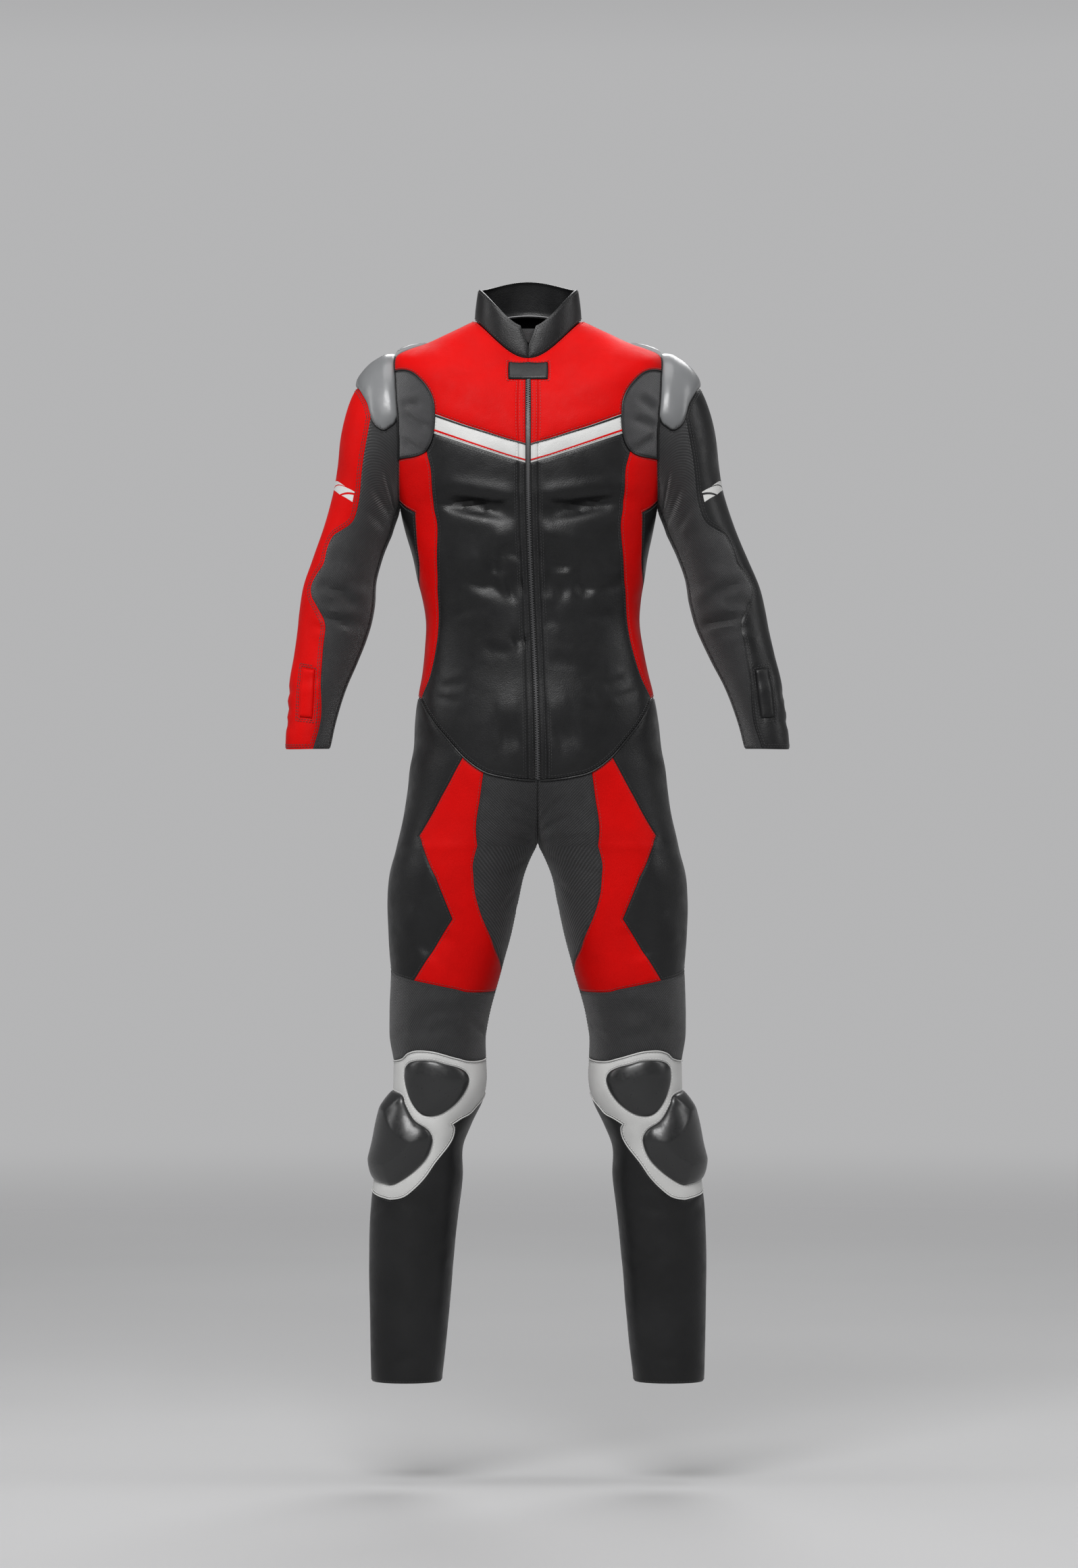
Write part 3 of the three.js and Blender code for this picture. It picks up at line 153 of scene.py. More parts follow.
LEG = smooth(
    table(
        "level outer inner front back",
        [
            [SPLIT, 165, 0, 95, 112],
            [CROTCH, 188, 0, 98, 106],
            [-711, 190, 5, 97, 104],
            [-741, 198, 18, 95, 100],
            [-777, 201, 26, 92, 96],
            [-827, 199.5, 37, 88, 90],
            [-870, 197, 48.5, 84, 85],
            [-935, 198.5, 65.7, 78, 76],
            [-961, 198, 69.6, 76, 72],
            [-988, 194, 69.4, 75, 68],
            [-1021, 193.5, 68.5, 74, 64],
            [-1040, 195, 72, 72, 62],
            [-1078, 204, 89, 67, 62],
            [-1104, 209, 99.7, 64, 64],
            [-1146, 219, 100.6, 61, 68],
            [-1196, 224, 106.6, 59, 68],
            [-1260, 226, 113, 56, 64],
            [-1330, 225, 119, 52, 56],
            [HEM, 223.5, 128.5, 48, 47],
        ],
    ),
    "level",
)
SLEEVE_START = 14
SLEEVE = smooth(
    table(
        "level out_x out_z in_x in_z mid deep",
        [
            [SLEEVE_START, 192, -51, 173.2, -255, 0, 67],
            [30, 208, -61, 174, -258, 0, 66],
            [48, 222, -77, 175, -261, 0, 65],
            [70, 236, -102, 177, -266, 0, 63],
            [92, 246, -132, 179, -271, 0, 61],
            [112, 252, -162, 182, -279, 0, 59],
            [134, 255.5, -196, 185, -288, 0, 57],
            [160, 262, -233, 190, -299, -1, 55],
            [188, 276, -280, 198, -318, -2, 53],
            [218, 293, -324, 207, -348, -4, 52],
            [248, 306, -360, 211, -381, -7, 51],
            [272, 312, -391, 217, -408, -10, 49],
            [294, 315, -414, 224, -428, -14, 47],
            [326, 321, -448, 238, -460, -20, 44],
            [358, 328, -482, 252, -490, -27, 41],
            [388, 332, -517, 263, -520, -33, 37],
            [410, 334, -546, 271, -548, -38, 34],
            [CUFF, 337, -575, 277, -575, -42, 32],
        ],
    ),
    "level",
)
COLLAR_TOP = {"half": 67, "front": 51, "back": 58, "z_front": -12, "z_side": 42, "z_back": 57}
LEAN_ACROSS = 12.6
LEAN_FROM = -200
LEAN_TO = -612


def lean(z):
    """The wearer stands with the hips a little to one side of the neck."""
    t = np.clip((LEAN_FROM - z) / (LEAN_FROM - LEAN_TO), 0, 1)
    return LEAN_ACROSS * t * t * (3 - 2 * t)


def oval(angle, half, front, back, square):
    deep = np.where(np.cos(angle) > 0, front, back)
    sides = np.abs(np.sin(angle) / half) ** square
    ends = np.abs(np.cos(angle) / deep) ** square
    r = (sides + ends) ** (-1 / square)
    return r * np.sin(angle), -r * np.cos(angle)


def fold_table(rows):
    return table("p q to_p to_q deep wide", rows)


# The largest folds, which the solids have too: troughs between two places, with depth and half width.
FOLDS = {
    "body": fold_table(
        [
            [0.08, -262, 0.24, -250, 4.5, 9],
            [0.06, -336, 0.17, -330, 4, 9],
            [0.13, -362, 0.25, -350, 4.5, 9],
            [0.73, -386, 1, -394, 4, 10],
            [0.7, -430, 0.95, -436, 4, 10],
            [0.63, -986, 0.86, -992, 4.5, 9],
            [0.68, -1018, 0.93, -1012, 4, 9],
        ]
    ),
    "sleeve": fold_table([[1.3, 246, 2.3, 252, 4, 8], [1.5, 272, 2.5, 276, 3.5, 8]]),
}
MM_AROUND = {"body": 480, "sleeve": 52}  # what the first parameter covers


def along_fold(surface, fold, p, q):
    """The share of the way along a fold, and the distance above it, in half widths."""
    x, y = (fold["to_p"] - fold["p"]) * MM_AROUND[surface], fold["to_q"] - fold["q"]
    u, v = (p[..., None] - fold["p"]) * MM_AROUND[surface], q[..., None] - fold["q"]
    share = np.clip((x * u + y * v) / (x * x + y * y), 0, 1)
    above = np.where((x * v - y * u) * np.sign(x) < 0, -1, 1)
    return share, above * np.hypot(u - share * x, v - share * y) / fold["wide"]


def trough(surface, p, q):
    fold = FOLDS[surface]
    share, off = along_fold(surface, fold, p, q)
    return (fold["deep"] * (0.4 + 0.6 * np.sin(np.pi * share)) * np.exp(-off * off)).sum(-1)


def body(s, level):
    """Points of the trunk and one leg: s from 0 at the front middle or inseam round the outside to 1."""
    s, level = np.broadcast_arrays(np.asarray(s, float), np.asarray(level, float))
    trunk = level > CROTCH
    beyond = trunk & ((s < 0) | (s > 1))
    side = np.where(beyond, -1.0, 1.0)
    at = np.where(trunk & (s < 0), -s, np.where(trunk & (s > 1), 2 - s, s))
    row = TRUNK(level)
    share = np.clip((SPLIT - level) / (SPLIT - CROTCH), 0, 1)
    split = np.where(level <= CROTCH, 1.0, 1 - np.sqrt(np.maximum(1 - share * share, 0)))
    x, y = oval(np.pi * at, row["half"], row["front"], row["back"], row["square"])
    frontness = np.cos(np.pi * at)
    end = np.where(frontness > 0, row["z_front"], row["z_back"])
    z = row["z_side"] + (end - row["z_side"]) * frontness**2
    sunk = trough("body", at, level)
    scale = 1 - sunk / np.hypot(x, y)
    x, y = x * scale, y * scale
    leg = LEG(level)
    inner = np.where(trunk, 0, leg["inner"])
    half = (leg["outer"] - inner) / 2
    turn = TAU * at
    deep = np.where(np.sin(turn) > 0, leg["front"], leg["back"])
    r = (np.abs(np.cos(turn) / half) ** 2.1 + np.abs(np.sin(turn) / deep) ** 2.1) ** (-1 / 2.1) - sunk
    leg_x = inner + half - r * np.cos(turn)
    leg_y = -r * np.sin(turn)
    x = (1 - split) * x + split * leg_x
    y = (1 - split) * y + split * leg_y
    z = np.where(split > 0, level, z)
    return np.stack([side * x, y, z], -1)


def armhole_at(turn):
    middle = (ARMHOLE_HIGH + ARMHOLE_LOW) / 2
    reach = (ARMHOLE_HIGH - ARMHOLE_LOW) / 2
    return 0.5 - ARMHOLE_WIDE * np.sin(turn), middle + reach * np.cos(turn)


def sleeve(turn, level):
    """Points of the sleeve: the turn is 0 on top, a quarter in front, half at the armpit."""
    turn, level = np.broadcast_arrays(np.asarray(turn, float), np.asarray(level, float))
    row = SLEEVE(np.maximum(level, SLEEVE_START))
    out_x, in_x, out_z, in_z = row["out_x"], row["in_x"], row["out_z"], row["in_z"]
    scale = 1 - trough("sleeve", turn, level) / 50
    ring = np.stack(
        [
            (out_x + in_x) / 2 + (out_x - in_x) / 2 * scale * np.cos(turn),
            row["mid"] - row["deep"] * scale * np.sin(turn),
            (out_z + in_z) / 2 + (out_z - in_z) / 2 * scale * np.cos(turn),
        ],
        -1,
    )
    hole = body(*armhole_at(turn))
    t = np.clip(level / SLEEVE_START, 0, 1)[..., None]
    return hole + (ring - hole) * t


def collar(s, rise):
    s, rise = np.broadcast_arrays(np.asarray(s, float), np.asarray(rise, float))
    base = body(s, np.full(s.shape, NECK))
    x, y = oval(np.pi * s, COLLAR_TOP["half"], COLLAR_TOP["front"], COLLAR_TOP["back"], 2)
    frontness = np.cos(np.pi * s)
    end = np.where(frontness > 0, COLLAR_TOP["z_front"], COLLAR_TOP["z_back"])
    top = np.stack([x, y, COLLAR_TOP["z_side"] + (end - COLLAR_TOP["z_side"]) * frontness**2], -1)
    return base + (top - base) * rise[..., None]


SURFACES = {"body": body, "sleeve": sleeve, "collar": collar}


def steps_at(surface):
    """The length of a test step along the second parameter, and the limits of that parameter."""
    if surface == "collar":
        return 0.02, 0, 1
    if surface == "sleeve":
        return 2.0, 0, CUFF
    return 2.0, HEM, NECK


def slopes_at(surface, p, q):
    """How a surface's point moves with each of its parameters."""
    f = SURFACES[surface]
    step, low, high = steps_at(surface)
    up = np.minimum(q + step, high)
    down = np.maximum(q - step, low)
    reach = 0.004
    along = (f(p + reach, q) - f(p - reach, q)) / (2 * reach)
    rise = (f(p, up) - f(p, down)) / (up - down)[..., None]
    return along, rise


def turn_near(s, level):
    """The turn of the armhole beside a place on the body, and whether the place is beside it."""
    across = (0.5 - s) / ARMHOLE_WIDE
    along = (level - (ARMHOLE_HIGH + ARMHOLE_LOW) / 2) / ((ARMHOLE_HIGH - ARMHOLE_LOW) / 2)
    return np.arctan2(across, along), np.abs(np.hypot(across, along) - 1) < 0.016


def unit(v):
    return v / np.maximum(np.linalg.norm(v, axis=-1, keepdims=True), 1e-12)


def out_at(surface, p, q):
    """The way out of the cloth. Panels that meet at the middle or at the armhole share it there."""
    p, q = np.asarray(p, float), np.asarray(q, float)
    mirror = (surface == "body") & (q > CROTCH) & ((p < 0) | (p > 1))
    at = np.where(mirror & (p < 0), -p, np.where(mirror & (p > 1), 2 - p, p))
    n = unit(np.cross(*slopes_at(surface, at, q)))
    if surface == "body":
        middle = (np.minimum(np.abs(at), np.abs(at - 1)) < 0.003) & (q > CROTCH - 1)
        n[middle, 0] = 0
        n[middle & (q < CROTCH + 4)] = (0, 0, -1)
        n = unit(n)
        turn, beside = turn_near(at, q)
        if beside.any():
            n[beside] = unit(
                n[beside] + unit(np.cross(*slopes_at("sleeve", turn[beside], np.full(beside.sum(), 0.5))))
            )
    if surface == "sleeve":
        edge = q < 1
        if edge.any():
            n[edge] = unit(n[edge] + unit(np.cross(*slopes_at("body", *armhole_at(at[edge])))))
    n[mirror, 0] *= -1
    return n


def seen_at(surface, x, z, start):
    """Parameters of the places that show at x, z from the front, on the wearer's left."""
    f = SURFACES[surface]
    x, z = np.asarray(x, float), np.asarray(z, float)
    p, q = np.full(x.shape, start[0]), np.full(x.shape, float(start[1]))
    dp, dq, ease = 1e-4, 0.2, 0.5
    for _ in range(160):
        here = f(p, q)
        miss_x, miss_z = x - here[..., 0], z - here[..., 2]
        a = (f(p + dp, q) - here) / dp
        b = (f(p, q + dq) - here) / dq
        area = a[..., 0] * b[..., 2] - b[..., 0] * a[..., 2]
        area = np.where(np.abs(area) < 1e-6, 1e-6, area)
        move = ease * (miss_x * b[..., 2] - b[..., 0] * miss_z) / area
        lift = ease * (a[..., 0] * miss_z - miss_x * a[..., 2]) / area
        if surface == "body":
            p = np.clip(p + np.clip(move, -0.03, 0.03), 0.0005, 0.4999)
            q = np.clip(q + np.clip(lift, -60, 60), HEM, NECK)
        else:
            p = np.clip(p + np.clip(move, -0.2, 0.2), 0.02, math.pi - 0.02)
            q = np.clip(q + np.clip(lift, -60, 60), 0.1, CUFF)
    return p, q


SEAM_STEP = 4.5
seams = {}


def seam(name, surface, marks, curved=False):
    """A line of parameters with named marks, filled in so that its points lie a few mm apart."""
    ends = np.array([m[:2] for m in marks], float)
    line, at = [], {}
    for i, mark in enumerate(marks):
        if i > 0:
            a, b = ends[i - 1], ends[i]
            gap = np.linalg.norm(SURFACES[surface](*a) - SURFACES[surface](*b))
            n = max(1, round(gap / SEAM_STEP))
            t = np.arange(1, n)[:, None] / n
            if curved:
                before = ends[i - 2] if i > 1 and not kink(marks[i - 1]) else 2 * a - b
                after = ends[i + 1] if i + 1 < len(ends) and not kink(mark) else 2 * b - a
                line += list(
                    0.5
                    * (2 * a + (b - before) * t + (2 * before - 5 * a + 4 * b - after) * t**2
                       + (3 * a - before - 3 * b + after) * t**3)
                )
            else:
                line += list(a + (b - a) * t)
        if len(mark) > 2 and mark[2]:
            at[mark[2].lstrip("^")] = len(line)
        line.append(ends[i])
    seams[name] = (np.array(line), at)


def kink(mark):
    """A mark whose name starts with ^ is a sharp corner of a curved seam."""
    return len(mark) > 2 and bool(mark[2]) and mark[2].startswith("^")


def run(name, start, end):
    line, at = seams[name]
    a, b = at[start], at[end]
    return line[a : b + 1] if a <= b else line[b : a + 1][::-1]


def join(*runs):
    """One closed outline from runs that follow each other."""
    line = [runs[0]]
    for r in runs[1:]:
        line.append(r[1:] if np.allclose(r[0], line[-1][-1], atol=1e-6) else r)
    line = np.concatenate(line)
    return line[:-1] if np.allclose(line[0], line[-1], atol=1e-6) else line


def across(half, middle):
    """A half outline from middle to middle, closed by its mirror image."""
    other = half[::-1][1:-1] * (-1, 1) + (2 * middle, 0)
    return np.concatenate([half, other])


def seen(surface, rows, start):
    p, q = seen_at(surface, [r[0] for r in rows], [r[1] for r in rows], start)
    return [(p[i], q[i], *rows[i][2:3]) for i in range(len(rows))]


def mark(point, name=None):
    return (float(point[0]), float(point[1]), name)


def front(x, z, start=(0.1, -30)):
    p, q = seen_at("body", [x], [z], start)
    return float(p[0]), float(q[0])


def armhole_turn(z):
    low, high = 0.02, math.pi - 0.02
    for _ in range(50):
        middle = (low + high) / 2
        if body(*armhole_at(middle))[2] > z:
            low = middle
        else:
            high = middle
    return (low + high) / 2


TURN = {
    "tip": 0.3,
    "panel top": armhole_turn(-70),
    "cup": armhole_turn(-131),
    "panel foot": armhole_turn(-189),
    "under": armhole_turn(-243),
    "strip": math.radians(162),
    "yoke behind": TAU - armhole_turn(-165),
}


def armhole_seams():
    turns = [(0, "top"), (TAU, "round"), (TURN["yoke behind"], "yoke behind")]
    for name in ("tip", "panel top", "cup", "panel foot", "under", "strip"):
        turns.append((TURN[name], name))
        turns.append((TAU - TURN[name], name + " behind"))
    turns.sort()
    points, at = [], {}
    for i, (turn, name) in enumerate(turns):
        at[name] = len(points)
        last = turns[i + 1][0] if i + 1 < len(turns) else turn
        n = max(1, round((last - turn) / 0.05))
        points += [turn + (last - turn) * k / n for k in range(n)]
    points = np.array(points)
    seams["armhole"] = (np.stack(armhole_at(points), -1), at)
    seams["armhole on sleeve"] = (np.stack([points, np.zeros(len(points))], -1), at)


def neck_seams():
    seam("neck", "body", [(0, NECK, "front"), (0.25, NECK), (0.5, NECK, "shoulder"), (1, NECK, "back")])
    top = (0, front(0.4, TAB_TOP, (0.01, 40))[1])
    seam(
        "tab",
        "body",
        [
            (*top, "top"),
            mark(front(TAB_HALF, TAB_TOP)),
            mark(front(TAB_HALF, TAB_FOOT)),
            mark(front(PLACKET, TAB_FOOT), "placket"),
            mark(front(ZIP, TAB_FOOT), "zip"),
            (0, front(0.4, TAB_FOOT)[1], "foot"),
        ],
    )
    seam("above tab", "body", [(0, NECK, "neck"), (*top, "tab")])
    places = [TAB_FOOT, -168, -194, -300, -420, -520, ZIP_FOOT + 0.2]
    names = ["top", "yoke", "band", None, None, None, "foot"]
    seam("placket", "body", seen("body", [(PLACKET, z, n) for z, n in zip(places, names)], (0.03, -100)))
    places[1:3] = [z - CHEVRON_SLOPE * (PLACKET - ZIP) for z in places[1:3]]
    places[-1] = ZIP_FOOT
    seam("zip", "body", seen("body", [(ZIP, z, n) for z, n in zip(places, names)], (0.01, -100)))


def chest_seams():
    seam(
        "armhole panel",
        "body",
        [
            mark(armhole_at(TURN["panel top"]), "top"),
            *seen(
                "body",
                [
                    (159, -72), (143, -84), (131, -100), (125.5, -115), (124.3, -131, "yoke"), (124.5, -144),
                    (126, -157, "band"), (129.5, -170), (136.5, -179.5, "side"), (150, -186),
                ],
                (0.35, -60),
            ),
            mark(armhole_at(TURN["panel foot"]), "foot"),
        ],
        curved=True,
    )
    for name, middle in (("yoke", [(50, -157), (88, -144.5)]), ("band", [(50, -182.5), (88, -170)])):
        seam(
            name + " foot",
            "body",
            [
                mark(run("placket", name, name)[0], "placket"),
                *seen("body", middle, (0.1, -120)),
                mark(run("armhole panel", name, name)[0], "panel"),
            ],
            curved=True,
        )
    low, high = -30, 20
    for _ in range(40):
        middle = (low + high) / 2
        low, high = (middle, high) if body(0.5, middle)[0] > 134 else (low, middle)
    seam("shoulder", "body", [(0.5, NECK, "neck"), (0.5, 25), (0.5, low, "tip")])
    for name, turn in (("tip front", TURN["tip"]), ("tip back", TAU - TURN["tip"])):
        seam(name, "body", [(0.5, low, "tip"), mark(armhole_at(turn), "armhole")])


def waist_seams():
    places = [
        (UNDERARM, "under"), (HIP, "hip"), (-750, "seat"), (-866, "thigh"), (-960, "knee back"),
        (-994, "frame top"), (-1032, "slider top"),
        (-1148, "slider foot"), (-1163, "frame foot"), (HEM, "hem"),
    ]
    seam("side", "body", [(SIDE, z, name) for z, name in places])
    waist_side = front(154.5, -507.5, (0.35, -500))
    seam(
        "front side",
        "body",
        [
            mark(run("armhole panel", "side", "side")[0], "panel"),
            *seen(
                "body",
                [
                    (129.5, -207), (127, -253), (122.5, -283), (125, -345),
                    (126, -368), (127, -409), (131, -436), (142, -478),
                ],
                (0.3, -200),
            ),
            mark(waist_side, "waist"),
        ],
        curved=True,
    )
    seam(
        "underarm front",
        "body",
        [
            mark(armhole_at(TURN["under"]), "armhole"),
            *seen("body", [(152, -260, "^step"), (151, -299), (149.5, -340)], (0.36, -260)),
            (SIDE, UNDERARM, "foot"),
        ],
        curved=True,
    )
    seam(
        "underarm back",
        "body",
        [
            mark(armhole_at(TAU - TURN["under"]), "armhole"),
            (0.645, -262, "^step"),
            (0.625, -300),
            (0.59, -340),
            (SIDE, UNDERARM, "foot"),
        ],
        curved=True,
    )
    seam(
        "waist",
        "body",
        [
            (SIDE, HIP, "hip"),
            mark(waist_side, "side"),
            *seen(
                "body",
                [
                    (145, -527), (125, -555), (99, -585, "thigh out"),
                    (72, -605, "thigh in"), (47, -612), (24, -615.5),
                    (PLACKET, ZIP_FOOT + 0.2, "placket"), (ZIP, ZIP_FOOT, "zip"),
                ],
                (0.2, -570),
            ),
            (0, ZIP_FOOT, "middle"),
        ],
        curved=True,
    )
    seam(
        "waist back",
        "body",
        [(SIDE, HIP, "side"), (0.7, -512), (0.85, -520), (1, -523, "middle")],
        curved=True,
    )
    seam(
        "yoke back",
        "body",
        [mark(armhole_at(TURN["yoke behind"]), "armhole"), (0.75, -158), (0.88, -160), (1, -162, "middle")],
        curved=True,
    )
    seam("centre back", "body", [(1, -523, "waist"), (1, -666), (1, -690), (1, CROTCH, "crotch")])
    seam("centre front", "body", [(0, ZIP_FOOT, "waist"), (0, -675), (0, -692), (0, CROTCH, "crotch")])


def leg_seams():
    places = [
        (CROTCH, "crotch"), (-790, "seat"), (-875, "panel foot"), (-899, "thigh"), (-960, "knee back"),
        (-989, "frame top"), (-1036, "frame foot"), (HEM, "hem"),
    ]
    seam("inseam", "body", [(0, z, name) for z, name in places])
    seam("inseam behind", "body", [(1, z, name) for z, name in places])
    leg_start = (0.25, -800)
    red_corner = front(165, -883, leg_start)
    seam(
        "inner panel",
        "body",
        [
            mark(run("waist", "thigh in", "thigh in")[0], "waist"),
            *seen(
                "body",
                [
                    (76.5, -638), (82, -680), (84.6, -721), (85, -745),
                    (82, -771), (73, -800), (62, -826), (54, -848),
                ],
                (0.15, -700),
            ),
            (0, -875, "foot"),
        ],
        curved=True,
    )
    seam(
        "red out",
        "body",
        [
            mark(run("waist", "thigh out", "thigh out")[0], "waist"),
            *seen(
                "body",
                [(128, -638), (158, -690), (135, -746), (113, -801, "notch"), (139, -842)],
                (0.25, -700),
            ),
            mark(red_corner, "thigh"),
        ],
    )
    seam(
        "thigh",
        "body",
        [
            (0, -899, "inseam"),
            *seen("body", [(87, -899), (111, -894)], (0.15, -899)),
            mark(red_corner, "red"),
            (SIDE, -866, "side"),
        ],
        curved=True,
    )
    seam(
        "knee frame top",
        "body",
        [
            (0, -989, "inseam"),
            *seen(
                "body",
                [(86.4, -992), (108, -987), (125, -982), (141, -978), (160, -977), (173, -981), (184, -990)],
                (0.2, -990),
            ),
            (SIDE, -994, "side"),
        ],
        curved=True,
    )
    seam(
        "knee frame foot",
        "body",
        [
            (0, -1036, "inseam"),
            *seen(
                "body",
                [
                    (80, -1050), (90, -1061), (101.7, -1067),
                    (114, -1074.6, "^notch"), (111.6, -1079), (113, -1091),
                    (119.7, -1104), (137, -1126), (150, -1145), (163, -1159),
                    (178, -1171), (193.5, -1175), (205, -1173.6),
                ],
                (0.2, -1100),
            ),
            (SIDE, -1163, "side"),
        ],
        curved=True,
    )
    seam(
        "slider edge",
        "body",
        [
            (SIDE, -1032, "top"),
            *seen(
                "body",
                [
                    (184.5, -1036), (178, -1047.6), (172, -1059),
                    (163, -1071), (150, -1079), (143, -1086), (139.5, -1096),
                    (143, -1110), (151, -1124), (166.5, -1139), (183.6, -1151), (195, -1156), (205, -1155),
                ],
                (0.35, -1090),
            ),
            (SIDE, -1148, "foot"),
        ],
        curved=True,
    )
    cup = seen(
        "body",
        [
            (177, -1000), (172, -993.6), (160, -990), (139.5, -990),
            (123, -994.5), (106, -999), (95.4, -1005),
            (91, -1014), (93.6, -1026), (101.7, -1039.5),
            (113, -1051), (128.7, -1061), (143, -1064), (155, -1061),
            (165, -1051), (172, -1038), (176.5, -1023), (178, -1011),
        ],
        (0.25, -1020),
    )
    seam("knee cup edge", "body", cup + [cup[0]], curved=True)
    seam("seat foot", "body", [(SIDE, -750, "side"), (0.75, -768), (1, -790, "inseam")], curved=True)
    seam("knee back", "body", [(SIDE, -960, "side"), (1, -960, "inseam")])
    seam("hem front", "body", [(0, HEM, "inseam"), (SIDE / 2, HEM), (SIDE, HEM, "side")])
    seam("hem back", "body", [(SIDE, HEM, "side"), (0.77, HEM), (1, HEM, "inseam")])


def sleeve_seams():
    cup = seen(
        "sleeve",
        [(180, -143), (192, -150), (203, -144), (210, -131, "seam"), (215, -114), (222, -101)],
        (1.4, 30),
    )
    low, high = SLEEVE_START, 90
    for _ in range(40):
        middle = (low + high) / 2
        low, high = (middle, high) if sleeve(0, middle)[2] > -90 else (low, middle)
    seam(
        "cup edge",
        "sleeve",
        [
            (TURN["cup"], 0, "armhole"), *cup, (0, low, "outer"),
            *[(-c[0], c[1]) for c in cup[::-1]], (-TURN["cup"], 0, "behind"),
        ],
        curved=True,
    )
    rows = [
        (215, -157.5), (219.6, -184), (224, -225), (231, -262),
        (239, -274.5), (252, -283), (263, -290), (271, -305),
        (277, -327), (287, -341), (295, -357), (295, -370),
        (287, -386), (278, -405), (278, -420), (281, -437),
        (284, -465), (286, -490), (287.5, -537),
    ]
    seam(
        "sleeve front",
        "sleeve",
        [(*cup[3][:2], "cup"), *seen("sleeve", rows, (1.3, 200)), (1.86, CUFF, "cuff")],
        curved=True,
    )
    strip = TURN["strip"]
    levels = [(0, "armhole"), (14, None), (100, None), (200, None), (300, None), (CUFF, "cuff")]
    seam("strip front", "sleeve", [(strip, v, n) for v, n in levels])
    seam("strip back", "sleeve", [(-strip, v, n) for v, n in levels])
    seam(
        "cuff",
        "sleeve",
        [
            (-strip, CUFF, "strip back"), (-1.4, CUFF), (0, CUFF), (1.86, CUFF, "seam"),
            (strip, CUFF, "strip front"), (TAU - strip, CUFF, "round"),
        ],
    )
    flap = seen(
        "sleeve", [(294, -470), (310, -467), (314, -500), (316, -532), (299, -534), (296, -502)], (1.3, 350)
    )
    seam("flap edge", "sleeve", flap + [flap[0]])


def all_seams():
    armhole_seams()
    neck_seams()
    chest_seams()
    waist_seams()
    leg_seams()
    sleeve_seams()


def turned(line, by):
    return line + (by, 0)


